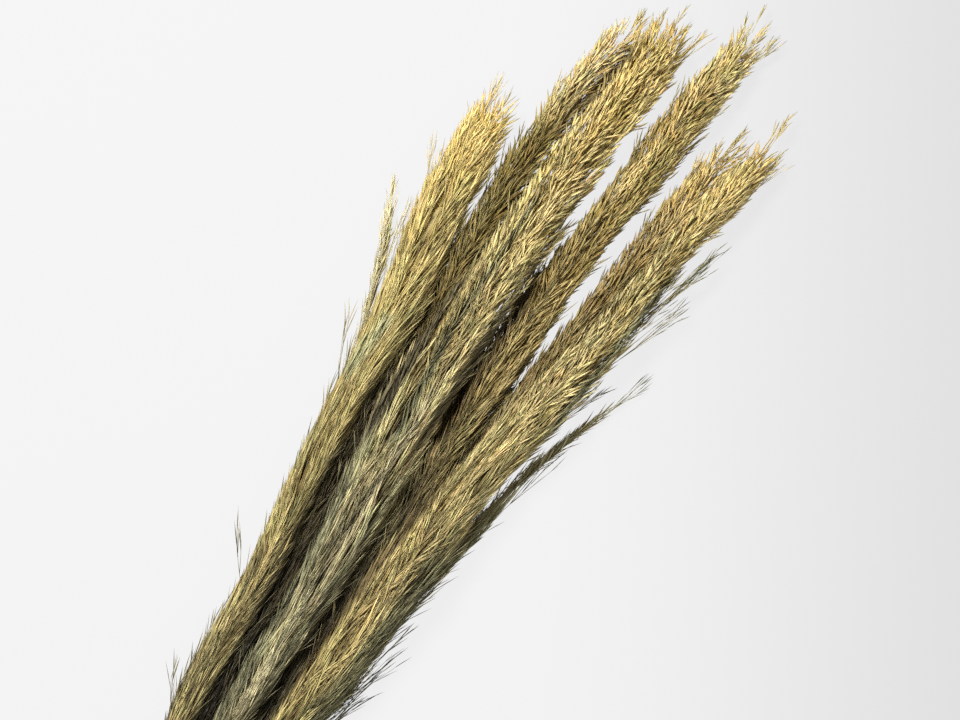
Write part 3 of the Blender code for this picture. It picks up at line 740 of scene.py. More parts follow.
def spikelet_shape():
    """A closed, slender grain, 1 long and 1 wide, pointed at both ends."""
    start_piece()
    bpy.ops.mesh.primitive_cone_add(
        vertices=3, radius1=0.5, radius2=0, depth=1 - WIDEST, location=(0, 0, (1 + WIDEST) / 2)
    )
    bpy.ops.object.transform_apply(location=True)
    bpy.ops.object.mode_set(mode="EDIT")
    pick("FACE", lambda mesh, face: face.normal.z < -FACING)
    bpy.ops.mesh.extrude_region_move(TRANSFORM_OT_translate={"value": (0, 0, SHOULDER - WIDEST)})
    bpy.ops.transform.resize(value=(SHOULDER_WIDTH, SHOULDER_WIDTH, 1))
    bpy.ops.mesh.extrude_region_move(TRANSFORM_OT_translate={"value": (0, 0, -SHOULDER)})
    bpy.ops.mesh.merge(type="CENTER")
    bpy.ops.object.mode_set(mode="OBJECT")
    return pattern(bpy.context.object)


def tube(sides, steps):
    """A closed tube, 1 long and 1 in radius, with this many rows of faces, to lay along paths."""
    start_piece()
    bpy.ops.mesh.primitive_cylinder_add(vertices=sides, radius=1, depth=1, location=(0, 0, 0.5))
    bpy.ops.object.transform_apply(location=True)
    bpy.ops.object.mode_set(mode="EDIT")
    divide_lengthwise(2, 0.5, steps - 1)
    bpy.ops.object.mode_set(mode="OBJECT")
    return pattern(bpy.context.object)


def directions_along(paths):
    """Forward, side and lift at each point of many paths, (paths, points, 3), untwisted along them."""
    forward = unit(np.gradient(paths, axis=1))
    side = np.empty_like(forward)
    found = np.broadcast_to(FIRST_SIDE, forward[:, 0].shape)
    for n in range(paths.shape[1]):
        ahead = forward[:, n]
        found = unit(found - (found * ahead).sum(axis=-1, keepdims=True) * ahead)
        side[:, n] = found
    return forward, side, np.cross(forward, side)


class Growth:
    """Collects one piece's vertices and triangles, with the values that its finish reads at each vertex."""

    def __init__(self, *names):
        self.points, self.faces, self.values = [], [], {name: [] for name in names}
        self.count = 0

    def add(self, points, faces, **values):
        """Points of many copies, each with the same faces: (copies, points, 3) and (faces, 3)."""
        copies, size = points.shape[:2]
        points[..., 2] = np.maximum(points[..., 2], FLOOR_CLEARANCE / 2)
        first = self.count + size * np.arange(copies)
        self.points.append(points.reshape(-1, 3))
        self.faces.append((faces[None] + first[:, None, None]).reshape(-1, 3))
        for name, found in self.values.items():
            value = np.asarray(values.get(name, 0.0))
            value = value[:, None] if value.shape == (copies,) else value
            found.append(np.broadcast_to(value, (copies, size)).reshape(-1))
        self.count += copies * size

    def stamp(self, shape, roots, forward, outward, lengths, widths, bend=0.0, **values):
        """Adds a copy of the shape at each root, pointing forward, with its tip bent outwards."""
        points, faces = shape
        forward = unit(forward)
        side = unit(np.cross(outward, forward))
        lift = np.cross(forward, side)
        along = points[:, 0]
        out = points[:, 2] * widths[:, None] + along**2 * (bend * lengths)[:, None]
        placed = (
            roots[:, None]
            + forward[:, None] * (along * lengths[:, None])[..., None]
            + side[:, None] * (points[:, 1] * widths[:, None])[..., None]
            + lift[:, None] * out[..., None]
        )
        self.add(placed, faces, along=along[None], **values)

    def lay(self, shape, paths, radii, **values):
        """Adds a copy of the shape, a tube, along each path, with one point of the path for each ring."""
        points, faces = shape
        _, side, lift = directions_along(paths)
        ring = np.rint(points[:, 0] * (paths.shape[1] - 1)).astype(int)
        across = side[:, ring] * points[:, 1, None] + lift[:, ring] * points[:, 2, None]
        placed = paths[:, ring] + across * np.asarray(radii)[ring, None]
        self.add(placed, faces, along=points[None, :, 0], **values)

    def build(self, name, finish):
        mesh = bpy.data.meshes.new(name)
        mesh.from_pydata(in_frame(np.concatenate(self.points)), [], np.concatenate(self.faces))
        mesh.shade_smooth()
        for key, found in self.values.items():
            keep_values(mesh, key, np.concatenate(found))
        mesh.materials.append(finish)
        return new_object(name, mesh)


class Plume:
    """One plume in the making."""

    def __init__(self, reed, settings, grain, stalk, spray):
        self.reed, self.settings = reed, settings
        self.grain, self.stalk, self.spray = grain, stalk, spray
        self.rng = np.random.default_rng(number_of(reed))
        self.room = Envelope(reed)
        self.growth = Growth("along", "tint", "lock", "depth", "stalk")
        self.length = settings.low_length / MM, settings.length / MM
        self.width = settings.low_width / MM, settings.width / MM
        self.spread = settings.low_spread, settings.spread

    def by_place(self, x, low_and_high):
        """Between two values, as blend() does, but later on plumes that stay fine for longer."""
        return blend(x - FINE_FOR.get(self.reed, 0), low_and_high)

    def at_tip(self, x):
        """1 at the plume's tip, and 0 well behind it."""
        return np.clip((x - self.room.tip + TIP_LENGTH) / TIP_LENGTH, 0, 1)

    def core(self):
        """The inside of the plume, that the branches stand out of, dark with painted shade."""
        room = self.room
        end = room.tip - CORE_STOP
        points, faces = tube(CORE_SIDES, int((end - room.base) / CORE_ROW))
        angle = np.arctan2(points[:, 2], points[:, 1])
        x = room.base + (end - room.base) * points[:, 0]
        slim = np.clip((end + CORE_POINT - x) / CORE_TAPER, CORE_ENDS[1], 1)
        slim *= np.clip((x - room.base) / CORE_TAPER, CORE_ENDS[0], 1)
        share = CORE_SHARE * slim * (1 + self.rng.uniform(-CORE_UNEVEN, CORE_UNEVEN, len(x)))
        placed = room.point(x, angle, share)
        self.growth.add(placed[None], faces, **CORE_LOOK)

    def main_stalk(self):
        """The stalk that all branches grow from, on the plume's axis."""
        x = np.linspace(self.room.base, self.room.tip - MAIN_STALK_STOP, MAIN_STALK_STEPS + 1)
        y, z, _, _ = section(self.reed, x)
        path = np.stack([x, y, z], axis=-1)[None]
        radii = np.linspace(*MAIN_STALK_RADIUS, len(x))
        self.growth.lay(tube(MAIN_STALK_SIDES, MAIN_STALK_STEPS), path, radii, **MAIN_STALK_LOOK)

    def lock_places(self, count, depths):
        """Where the locks of a layer end: x, angle and depth, spread evenly over the plume's surface."""
        room, rng = self.room, self.rng
        depth = rng.uniform(*depths, count)
        place = np.linspace(room.base, room.tip, LOCK_SAMPLES) + FIRST_LOCK
        weight = np.maximum(smooth_values(PLUMES[self.reed], np.minimum(place, room.blunt), 3), 1)
        weight *= 1 + TIP_DENSER * self.at_tip(place)
        chance = np.cumsum(weight) / weight.sum()
        x = np.interp((np.arange(count) + rng.random(count)) / count, chance, place)
        x = np.minimum(x, room.last_x(depth) + rng.normal(*LAST_LOCK, count))
        angle = np.arange(count) * GOLDEN_TURN + rng.uniform(-LOCK_SCATTER, LOCK_SCATTER, count)
        hidden = (np.sin(angle) < UNDERSIDE) & (rng.random(count) > UNDERSIDE_SHARE)
        return x, np.where(hidden, -angle, angle), depth

    def layer(self, spikelet_count, in_lock, depths):
        """Branches in locks, each with a thin stalk and spikelets along it."""
        room, rng = self.room, self.rng
        count = max(round(spikelet_count / PER_BRANCH), in_lock)
        locks = max(count // in_lock, 1)
        lock_x, lock_angle, lock_depth = self.lock_places(locks, depths)
        lock_drift = rng.normal(0, LOCK_DRIFT, locks)
        lock_tint = rng.random(locks)

        owner = np.arange(count) % locks
        end_x = lock_x[owner] - np.abs(rng.normal(0, LOCK_LENGTH, count))
        looseness = LOCK_WIDTH + TIP_LOOSER * self.at_tip(end_x)
        end_angle = lock_angle[owner] + rng.normal(0, 1, count) * looseness
        depth = lock_depth[owner] * (1 - np.abs(rng.normal(0, LOCK_DEPTH, count)))
        length = self.by_place(end_x, BRANCH_LENGTH) * rng.uniform(*BRANCH_LENGTHS, count)
        length = np.minimum(length, SHORT_BRANCH + SHORTENING * np.maximum(room.tip - end_x, 0))
        length = np.clip(end_x - room.base - CLEAR_OF_BASE, SHORTEST_BRANCH, length)
        drift = (lock_drift[owner] + rng.normal(0, BRANCH_DRIFT, count)) * length / BRANCH_LENGTH[1]
        wave = rng.uniform(0, 2 * math.pi, count)

        def path(t, i):
            x = end_x[i] - length[i] * (1 - t)
            angle = end_angle[i] - drift[i] * (1 - t) + BRANCH_WAVE * np.sin(WAVES * t + wave[i])
            return x, angle, depth[i] * (BRANCH_START + (1 - BRANCH_START) * np.sin(t * math.pi / 2))

        steps = len(np.unique(self.stalk[0][:, 0]))
        stalks = room.point(*path(np.linspace(0, 1, steps)[None], np.arange(count)[:, None]))
        radii = np.linspace(*STALK_WIDTH, steps) / 2
        tint = STALK_TINTS[0] + STALK_TINTS[1] * rng.random(count)
        values = {"tint": tint, "lock": lock_tint[owner], "depth": depth, "stalk": STALK_GREEN}
        self.growth.lay(self.stalk, stalks, radii, **values)

        share = length / self.by_place(end_x, SPIKELET_SPACING)
        each = np.maximum(np.rint(share * spikelet_count / share.sum()), 2).astype(int)
        branch = np.repeat(np.arange(count), each)
        number = np.arange(len(branch)) - (np.cumsum(each) - each)[branch]
        t = BARE_STALK + (1 - BARE_STALK) * (number + rng.random(len(branch))) / each[branch]
        x, angle, share = path(t, branch)
        roots = room.point(x, angle, share)
        forward = unit(room.point(*path(t + BRANCH_AHEAD, branch)) - roots)
        roots += rng.normal(0, 1, roots.shape) * self.by_place(x, OFFSET)[:, None]
        lean = (rng.normal(0, 1, locks)[owner] + rng.normal(0, BRANCH_LEAN, count))[branch]
        lean *= self.by_place(x, LOCK_LEAN)
        lean += np.where(number % 2, 1, -1) * rng.choice((-1, 1), count)[branch] * self.by_place(x, SIDE_LEAN)
        self.spikelets(x, angle, share, roots, forward, lock_tint[owner][branch], lean)

    def spikelets(self, x, angle, share, roots, forward, lock, lean):
        """One spikelet at each root, turned away from its branch, and to one side by lean, in degrees."""
        rng, size = self.rng, len(x)
        lengths = self.by_place(x, self.length) * rng.uniform(*SPIKELET_LENGTHS, size)
        at_tip = self.at_tip(x)
        widths = self.by_place(x, self.width) * rng.uniform(*SPIKELET_WIDTHS, size) * (1 - TIP_FINER * at_tip)
        spread = np.degrees(self.by_place(x, self.spread)) + TIP_SPREAD * at_tip / 2
        outward, sideways = outward_of(angle), sideways_of(angle)
        out = self.by_place(x, LEAN) + TIP_SPREAD * at_tip + spread * rng.normal(0, OUTWARD_SPREAD, size)
        out = np.tan(np.radians(out))
        side = np.tan(np.radians(lean + spread * rng.normal(0, 1, size)))
        directions = unit(forward + outward * out[:, None] + sideways * side[:, None])
        tips = roots + directions * lengths[:, None]
        y, z, _, _ = section(self.reed, tips[:, 0])
        away_y, away_z = tips[:, 1] - y, tips[:, 2] - z
        reached = np.hypot(away_y, away_z)
        limit = self.room.at(tips[:, 0], np.arctan2(away_z, away_y)) * rng.uniform(LEAST, MOST, size)
        roots = roots - outward * np.maximum(reached - limit, 0)[:, None]
        roots[:, 2] = np.maximum(roots[:, 2], FLOOR_CLEARANCE)
        bend = self.by_place(x, CURL) * rng.normal(1, 1, size)
        values = {"tint": rng.random(size), "lock": lock, "depth": share}
        self.growth.stamp(self.grain, roots, directions, outward, lengths, widths, bend, **values)

    def loose_spikelets(self, roots, forward, spread, share_of_width, shade):
        """Spikelets on branches that stand free."""
        rng, size = self.rng, len(roots)
        off = unit(np.cross(forward, rng.normal(0, 1, (size, 3))))
        angle = np.radians(rng.uniform(LOOSE_LEAN, spread, size))[:, None]
        directions = forward * np.cos(angle) + off * np.sin(angle)
        lengths = self.by_place(roots[:, 0], self.length) * rng.uniform(*LOOSE_LENGTHS, size)
        widths = self.by_place(roots[:, 0], self.width) * share_of_width * rng.uniform(*LOOSE_WIDTHS, size)
        values = LOOSE_LOOK | {"tint": rng.random(size), "stalk": shade}
        self.growth.stamp(self.grain, roots, directions, off, lengths, widths, LOOSE_CURL, **values)

    def loose_stalks(self, paths, width, tint):
        """A thin stalk along each path."""
        radii = width / 2 * np.linspace(*LOOSE_TAPER, SPRAY_STEPS + 1)
        self.growth.lay(self.spray, paths, radii, tint=tint, **LOOSE_LOOK)

    def along_paths(self, paths, start, each):
        """Random places towards the end of each path, and the directions there."""
        count, steps = len(paths), paths.shape[1] - 1
        t = start + (1 - start) * (np.arange(each)[None] + self.rng.random((count, each))) / each
        place = t * steps
        i = np.minimum(place.astype(int), steps - 1)
        rows = np.arange(count)[:, None]
        ahead = paths[rows, i + 1] - paths[rows, i]
        roots = paths[rows, i] + ahead * (place - i)[..., None]
        return roots.reshape(-1, 3), unit(ahead).reshape(-1, 3)

    def wisps(self):
        """Single thin branches that stand out of the plume, each ending in a few spikelets."""
        room, rng = self.room, self.rng
        count = round((room.tip - room.base) * WISPS_PER_MM)
        end_x = rng.uniform(room.base + WISP_FIRST, room.tip + WISP_BEYOND, count)
        angle = rng.uniform(WISP_LOWEST, math.pi - WISP_LOWEST, count)[:, None]
        length = self.by_place(end_x, WISP_LENGTH) * rng.uniform(*WISP_LENGTHS, count)
        length = np.minimum(length * (1 - self.at_tip(end_x) / 2), end_x - room.base)[:, None]
        before_tip = room.tip - end_x
        taper, least = WISP_OUT_TAPER
        out = 1 + rng.uniform(0, WISP_OUT, count) * np.clip(before_tip / taper, least, 1)
        held = np.clip((before_tip + WISP_HELD[1]) / WISP_HELD[0], WISP_HELD_LEAST, 1)[:, None]
        drift = rng.normal(0, WISP_DRIFT, count)[:, None]
        t = np.linspace(0, 1, SPRAY_STEPS + 1)[None]
        bow = (WISP_START + (out[:, None] - WISP_START) * t * t) * held
        paths = room.point(end_x[:, None] - length * (1 - t), angle - drift * (1 - t), bow)
        self.loose_stalks(paths, WISP_WIDTH, WISP_TINT)
        roots, forward = self.along_paths(paths, WISP_BARE, WISP_SPIKELETS)
        shade = WISP_SHADES.get(self.reed, WISP_SHADE)
        self.loose_spikelets(roots, forward, WISP_SPREAD, WISP_FULLNESS, shade)

    def loose_spray(self, root_x, tip_x, tip_y, tip_z, shade):
        """A slender branch that leaves the plume, with twigs and spikelets towards its end."""
        rng = self.rng
        y, z, radius, _ = (float(v) for v in section(self.reed, np.array(float(root_x))))
        angle = math.atan2(tip_z - z, tip_y - y)
        away = ROOT_SHARE * radius
        start = np.array((root_x, y + away * math.cos(angle), z + away * math.sin(angle)))
        end = start + (np.array((tip_x, tip_y, tip_z)) - start) * (1, SPRAY_REACH, SPRAY_REACH)
        middle = start + (end - start) * (0.5, SPRAY_BEND, SPRAY_BEND)
        twigs, each = [round(float(self.by_place(root_x, ends))) for ends in (SPRAY_TWIGS, SPRAY_SPIKELETS)]
        line = bent(start, middle, end, SPRAY_STEPS)
        span = np.linalg.norm(end - start)
        paths = [line]
        for n in range(twigs):
            at = TWIG_FIRST + TWIG_SPAN * (n + rng.random()) / twigs
            root = line[round(at * SPRAY_STEPS)]
            aside = rng.normal(0, TWIG_ASIDE, 3) * np.linalg.norm(end - root) * TWIG_FLATTENED
            tip = root + (end - root) * rng.uniform(*TWIG_LENGTHS) + aside
            half = (root + tip) / 2 + rng.normal(0, TWIG_BEND, 3) * span
            paths.append(bent(root, half, tip, SPRAY_STEPS))
        paths = np.array(paths)
        self.loose_stalks(paths, SPRAY_WIDTH, SPRAY_TINT)
        roots, forward = self.along_paths(paths, SPRAY_BARE, each)
        fullness = self.by_place(roots[:, 0], SPRAY_FULLNESS)
        self.loose_spikelets(roots, forward, SPRAY_SPREAD, fullness, shade)

    def grow(self, colours):
        self.core()
        self.main_stalk()
        for share, in_lock, depths in LAYERS:
            count = self.settings.amount * SPIKELET_SHARES[self.reed] * share
            self.layer(count, in_lock, depths)
        self.wisps()
        for spray in LOOSE_SPRAYS[self.reed]:
            self.loose_spray(*spray)
        piece = self.growth.build("reed_plume_" + self.reed, plume_finish(self.reed, colours))
        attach(piece, "root")
        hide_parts("plume_" + self.reed)


def plume_finish(reed, colours):
    """Straw that turns from grey or olive low down to gold at the tip, and differs from grain to grain, with
    painted shade deep inside the plume and in streaks, and streaks of painted light.
    """
    finish = Finish("spikelets_" + reed)
    tint, lock, depth, along, stalk = [
        finish.attribute(name) for name in ("tint", "lock", "depth", "along", "stalk")
    ]
    where = finish.place()
    patches = finish.noise(where, PATCH_SCALE)
    x, y = finish.x_and_y(where)
    low_x, high_x = LOW_ENDS.get(reed, LOW_END), PLUMES[reed][-1][0] - HIGH_BEFORE_TIP
    start, end = low_x * MM + SHIFT.x, high_x * MM + SHIFT.x
    shifted = x + (patches - 0.5) * PATCH_SHIFT
    height = finish.node("ShaderNodeMapRange", sockets={0: shifted, 1: start, 2: end})
    low, middle, high = [tuple(getattr(colours, f"{reed}_{place}")) for place in PLACES]
    colour = finish.ramp(height, (0, low), (MIDDLE_AT[reed], middle), (1, high))
    hue = finish.math("FRACT", tint * TINT_OF_ONE + lock * TINT_OF_LOCK)
    colour = finish.tinted(colour, finish.ramp(hue, *TINTS))
    # The dark green of stalks, which on shaded loose spikelets is also painted shade.
    colour = finish.mix(finish.between(stalk, 0, 1) * STALK_COLOURED, colour, STALK_AND_SHADE_COLOUR)
    # Streaks of painted shade and painted light, and a few glaucous tints.
    gone, full = STREAK_ENDS
    for first, last, half, tone, share in STREAKS_OF_PAINTED_LIGHT_SHADE_AND_TINT.get(reed, ()):
        first, last = in_frame((*first, 0)), in_frame((*last, 0))
        run = math.hypot(*(last - first)[:2])
        ahead, aside = (last - first)[:2] / run
        along_it = ((x - first[0]) * ahead + (y - first[1]) * aside) / run
        across = finish.math("ABSOLUTE", (y - first[1]) * ahead - (x - first[0]) * aside)
        there = finish.between(along_it, gone, full) * finish.between(along_it, 1 - gone, 1 - full)
        near = finish.between(across / (half * MM) + (lock - 0.5) * STREAK_RAGGED, *STREAK_SIDES)
        colour = finish.mix(near * there * share, colour, tone)
    strength = 1 - height * EVENER
    uneven = (tint - 0.5) * LIGHT_OF_ONE + (lock - 0.5) * LIGHT_OF_LOCK + along * LIGHT_OF_TIP
    colour = finish.scaled(colour, PLAIN_LIGHT + uneven * strength)
    # Painted shade: spikelets deep in the plume are darker, less so towards the tip.
    inside = finish.mix(height, INNER_SHADE_LOW, INNER_SHADE_HIGH)
    colour = finish.mix(finish.between(depth, FULL_SHADE_DEPTH, NO_SHADE_DEPTH), finish.tinted(colour, inside), colour)
    finish.set(Base_Color=colour, Roughness=0.5, Specular_IOR_Level=0.35)
    return finish.material


def stem_rows(reed):
    """The x of a stem's rings, close together at its joints and at the ends of its sheaths."""
    start, end = CUT_X[reed], PLUMES[reed][0][0] - GAP
    rows = set(np.linspace(start, end, round((end - start) / STEM_STEP) + 1))
    for joint, sheath_end in zip(JOINTS[reed], sheath_ends(reed)):
        rows |= set(np.arange(joint - JOINT_WIDTH - 1, joint + JOINT_WIDTH + 2, FINE_STEP))
        rows |= set(np.arange(sheath_end - SHEATH_SLANT - 2, sheath_end + SHEATH_SLANT + 2, FINE_STEP))
    kept = [start]
    for x in sorted(rows):
        if x - kept[-1] >= FINE_STEP / 2 and end - x > FINE_STEP / 2:
            kept.append(float(x))
    return np.array(kept + [end])


def sheath_ends(reed):
    """Where the sheath that each joint carries ends, short of the tie and of the plume."""
    first, second = JOINTS[reed]
    last = PLUMES[reed][0][0] - SHEATH_SLANT - SHEATH_SHORT
    return min(first + SHEATH_LENGTH, TIE_X - SHEATH_CLEAR), min(second + SHEATH_LENGTH, last)


def plain_stem(reed, rows):
    """A straight cane along X, with a ring of vertices at each row, and the hollow in its cut end."""
    length = rows[-1] - rows[0]
    start_piece()
    bpy.ops.mesh.primitive_cylinder_add(
        vertices=STEM_SIDES,
        radius=STEM_CUT_RADIUS * MM,
        depth=length * MM,
        rotation=(0, math.pi / 2, 0),
        location=in_frame(((rows[0] + rows[-1]) / 2, 0, 0)),
    )
    piece = bpy.context.object
    piece.name = piece.data.name = "reed_stem_" + reed
    bpy.ops.object.transform_apply(location=True, rotation=True)
    bpy.ops.object.mode_set(mode="EDIT")
    divide_lengthwise(0, length * MM / 2, len(rows) - 2)
    pick("FACE", lambda mesh, face: face.normal.x < -FACING)
    bpy.ops.mesh.inset(thickness=(STEM_CUT_RADIUS - BORE_RADIUS) * MM)
    bpy.ops.mesh.extrude_region_move(TRANSFORM_OT_translate={"value": (BORE_DEPTH * MM, 0, 0)})
    bpy.ops.object.mode_set(mode="OBJECT")
    return piece


def stem(reed, settings, finish):
    """A slightly bent cane with ringed joints and sheaths, hollow at its cut end."""
    rows = stem_rows(reed)
    piece = plain_stem(reed, rows)
    flat = (coordinates(piece.data) - in_frame((0, 0, 0))) / MM
    out = np.hypot(flat[:, 1], flat[:, 2])
    bore = out < STEM_CUT_RADIUS - INSIDE_RIM
    angle = np.arctan2(flat[:, 2], flat[:, 1])
    ring = np.rint((flat[:, 0] - rows[0]) / (rows[-1] - rows[0]) * (len(rows) - 1)).astype(int)
    x = np.where(bore, flat[:, 0], rows[ring])
    y, z, radius, _ = section(reed, x)
    radius = np.where(bore, out, radius - JOINT_SWELL)
    joint_share, sheath_share = np.zeros(len(x)), np.zeros(len(x))
    turn = number_of(reed)
    for joint, sheath_end in zip(JOINTS[reed], sheath_ends(reed)):
        away = np.abs(x - joint)
        swell = np.where(away < JOINT_WIDTH, (1 + np.cos(math.pi * away / JOINT_WIDTH)) / 2, 0)
        groove = np.exp(-(((x - joint) / GROOVE_WIDTH) ** 2))
        slanted = sheath_end + SHEATH_SLANT * np.cos(angle - turn)
        covered = (x > joint + GROOVE_WIDTH) & (x < slanted)
        radius = radius + np.where(bore, 0, JOINT_SWELL * swell - GROOVE_DEPTH * groove)
        radius = radius + np.where(covered & ~bore, settings.sheath_thickness / MM, 0)
        joint_share = np.maximum(joint_share, swell)
        sheath_share = np.maximum(sheath_share, covered)
        turn += SHEATH_TURN
    placed = np.stack([x, y + radius * np.cos(angle), z + radius * np.sin(angle)], axis=-1)
    piece.data.vertices.foreach_set("co", in_frame(placed).reshape(-1))
    cut_share = bore | (x < rows[0] + CUT_FACE)
    for name, values in (("joint", joint_share), ("sheath", sheath_share), ("cut", cut_share)):
        keep_values(piece.data, name, values)
    piece.data.update()
    bpy.ops.object.shade_smooth_by_angle(angle=math.radians(SMOOTH_UNDER))
    piece.data.materials.clear()
    piece.data.materials.append(finish)
    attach(piece, "root")
    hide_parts("stem_" + reed)


def stem_finish(settings):
    """Dry cane: fine lengthwise ribs, brown at the joints, paler and papery where a sheath is left."""
    finish = Finish("cane")
    joint, sheath, cut = [finish.attribute(name) for name in ("joint", "sheath", "cut")]
    ribs, blotches, streaks = [
        finish.noise(finish.place((stretch, 1, 1)), scale, detail, CANE_ROUGHNESS)
        for stretch, scale, detail in CANE_NOISES.values()
    ]
    colour = finish.mix(finish.between(blotches, 0.42, 0.62), settings.colour, settings.second_colour)
    colour = finish.mix(finish.between(sheath, 0.2, 0.8) * SHEATH_SHOWS, colour, settings.sheath_colour)
    colour = finish.mix(finish.between(joint, 0.3, 1) * JOINT_SHOWS, colour, settings.joint_colour)
    colour = finish.mix(cut, colour, settings.cut_colour)
    colour = finish.scaled(colour, CANE_LIGHT + streaks * CANE_UNEVEN)
    finish.set(
        Base_Color=colour,
        Roughness=0.38 + streaks * 0.2 + cut * 0.3 + sheath * 0.15,
        Normal=finish.bump(streaks * 0.8 + ribs * 0.2, CANE_BUMP, strength=0.7),
    )
    return finish.material


def evenly(path, step):
    """The same path, with its points this far apart."""
    gone = np.concatenate([[0], np.cumsum(np.linalg.norm(np.diff(path, axis=0), axis=1))])
    places = np.linspace(0, gone[-1], round(gone[-1] / step) + 1)
    return np.stack([np.interp(places, gone, column) for column in path.T], axis=-1)


def tie_route():
    """The middle of the twine, in turns side by side round the stems, at even steps."""
    radius = TIE_RADIUS + TIE_CLEARANCE + TURN_SIZE / 2
    top = tie_place("middle")[1]
    corners = ((-PITCH, top, 90), (-PITCH, TIE_LOW_Z, 180), (PITCH, TIE_LOW_Z, 270), (PITCH, top, 0))
    outline = [(KNOT_Y, top + radius)]
    for y, z, first in corners:
        for degrees in np.linspace(first, first + 90, CORNER_POINTS):
            turned = math.radians(degrees)
            outline.append((y + radius * math.cos(turned), z + radius * math.sin(turned)))
    route = evenly(np.array(outline * TURNS + outline[:1]), TWINE_STEP)
    x = TIE_X + (np.linspace(0, 1, len(route)) - 0.5) * TURNS * TURN_SIZE
    return np.column_stack([x, route])


def knot_route(over):
    """The twine's way through the knot."""
    t = np.linspace(0, 2 * math.pi, KNOT_POINTS)
    loop = np.stack([np.sin(t) + 2 * np.sin(2 * t), np.cos(t) - 2 * np.cos(2 * t), -np.sin(3 * t)], axis=-1)
    half = (np.array(KNOT_SIZE) - TURN_SIZE / 2) / (3, 3, 1)
    return loop * half + (TIE_X, KNOT_Y, over + KNOT_LIFT)


def twisted(growth, path, settings):
    """Lays the twine's plies along a path, twisted round each other, and returns their middles."""
    _, side, lift = directions_along(path[None])
    gone = np.arange(len(path)) * TWINE_STEP
    ply_radius = settings.ply_radius / MM
    offset = TURN_SIZE / 2 - ply_radius
    plies = []
    for n in range(PLIES):
        turned = 2 * math.pi * (gone * MM / settings.twist_length + n / PLIES)
        outward = side[0] * np.cos(turned)[:, None] + lift[0] * np.sin(turned)[:, None]
        plies.append(path + offset * outward)
    plies = np.array(plies)
    radii = np.full(len(path), ply_radius)
    growth.lay(tube(PLY_SIDES, len(path) - 1), plies, radii, tint=np.linspace(*PLY_TINTS, PLIES))
    return plies


def tie(settings):
    """Three turns of plied twine with a knot on top, two frayed tails and a little fuzz."""
    rng = np.random.default_rng(TWINE_SEED)
    growth = Growth("along", "tint")
    grain = spikelet_shape()
    over = tie_place("middle")[1] + TIE_RADIUS + TIE_CLEARANCE + TURN_SIZE
    routes = [tie_route(), evenly(knot_route(over), TWINE_STEP)]
    for middle, end in TAILS.values():
        middle, end = [(TIE_X + x, y, over + z) for x, y, z in (middle, end)]
        tail = bent((TIE_X, KNOT_Y, over + KNOT_LIFT), middle, end, TAIL_STEPS)
        routes.append(evenly(tail, TWINE_STEP))
    plies = [twisted(growth, route, settings) for route in routes]

    middles = np.concatenate([route[1:-1] for route in routes])
    ahead = np.concatenate([np.gradient(route, axis=0)[1:-1] for route in routes])
    chosen = rng.integers(0, len(middles), FIBRES)
    forward = unit(ahead[chosen])
    out = unit(np.cross(forward, rng.normal(0, 1, (FIBRES, 3))))
    roots = middles[chosen] + out * TURN_SIZE * FIBRE_ROOT
    forward = forward + out * rng.uniform(*FIBRE_SLANTS, FIBRES)[:, None]
    lengths, widths = rng.uniform(*FIBRE_LENGTHS, FIBRES), rng.uniform(*FIBRE_WIDTHS, FIBRES)
    growth.stamp(grain, roots, forward, out, lengths, widths, FIBRE_CURL, tint=rng.random(FIBRES))
    for strands in plies[2:]:
        ends = strands[:, -2:]
        which = np.arange(FRAYED) % PLIES
        forward = unit(ends[which, 1] - ends[which, 0]) + rng.normal(0, FRAY_SPREAD, (FRAYED, 3))
        roots, out = ends[which, 0] - forward, unit(rng.normal(0, 1, (FRAYED, 3)))
        lengths, widths = rng.uniform(*FRAY_LENGTHS, FRAYED), rng.uniform(*FRAY_WIDTHS, FRAYED)
        growth.stamp(grain, roots, forward, out, lengths, widths, FRAY_CURL, tint=rng.random(FRAYED))
    piece = growth.build("tie_of_twine", twine_finish(settings))
    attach(piece, "root")
    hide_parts("tie_twine")


def twine_finish(settings):
    """Rough plant fibre, lighter on some plies and darker low in its grain, as the fibres' own colour and as
    painted shade between them.
    """
    finish = Finish("twine")
    fibres = finish.noise(finish.place(), TWINE_GRAIN, detail=3, roughness=0.7)
    tint = finish.attribute("tint")
    colour = finish.mix(finish.between(fibres, 0.3, 0.7), settings.grain_and_shade_colour, settings.colour)
    colour = finish.scaled(colour, PLY_LIGHT + tint * PLY_UNEVEN)
    finish.set(Base_Color=colour, Roughness=0.9, Normal=finish.bump(fibres, TWINE_BUMP, strength=0.8))
    return finish.material


def camera(settings):
    """Straight above the plumes, turned as the photograph is."""
    data = bpy.data.cameras.new("camera")
    data.lens, data.sensor_width = settings.lens, SENSOR
    distance = data.lens / data.sensor_width * PICTURE_WIDTH * PIXEL
    right, up = Vector((*ALONG_RIGHT, 0)).normalized(), Vector((*ALONG_UP, 0)).normalized()
    back = right.cross(up)
    made = new_object("camera", data)
    turned = Matrix((right, up, back)).transposed().to_4x4()
    where = in_frame((0, 0, PLUME_HEIGHT + distance))
    made.matrix_world = Matrix.Translation(Vector(where)) @ turned
    data.clip_start, data.clip_end = CAMERA_REACH
    bpy.context.scene.camera = made


def area_light(name, toward, distance, size, power):
    """A square light that shines from this direction at the middle of the plumes."""
    data = bpy.data.lights.new(name, "AREA")
    data.size, data.energy = size, power
    made = new_object(name, data)
    direction = Vector(toward).normalized()
    made.location = Vector((SHIFT.x + LIT_X, 0, LIT_Z)) + direction * distance
    made.rotation_mode = "QUATERNION"
    made.rotation_quaternion = direction.to_track_quat("Z", "Y")


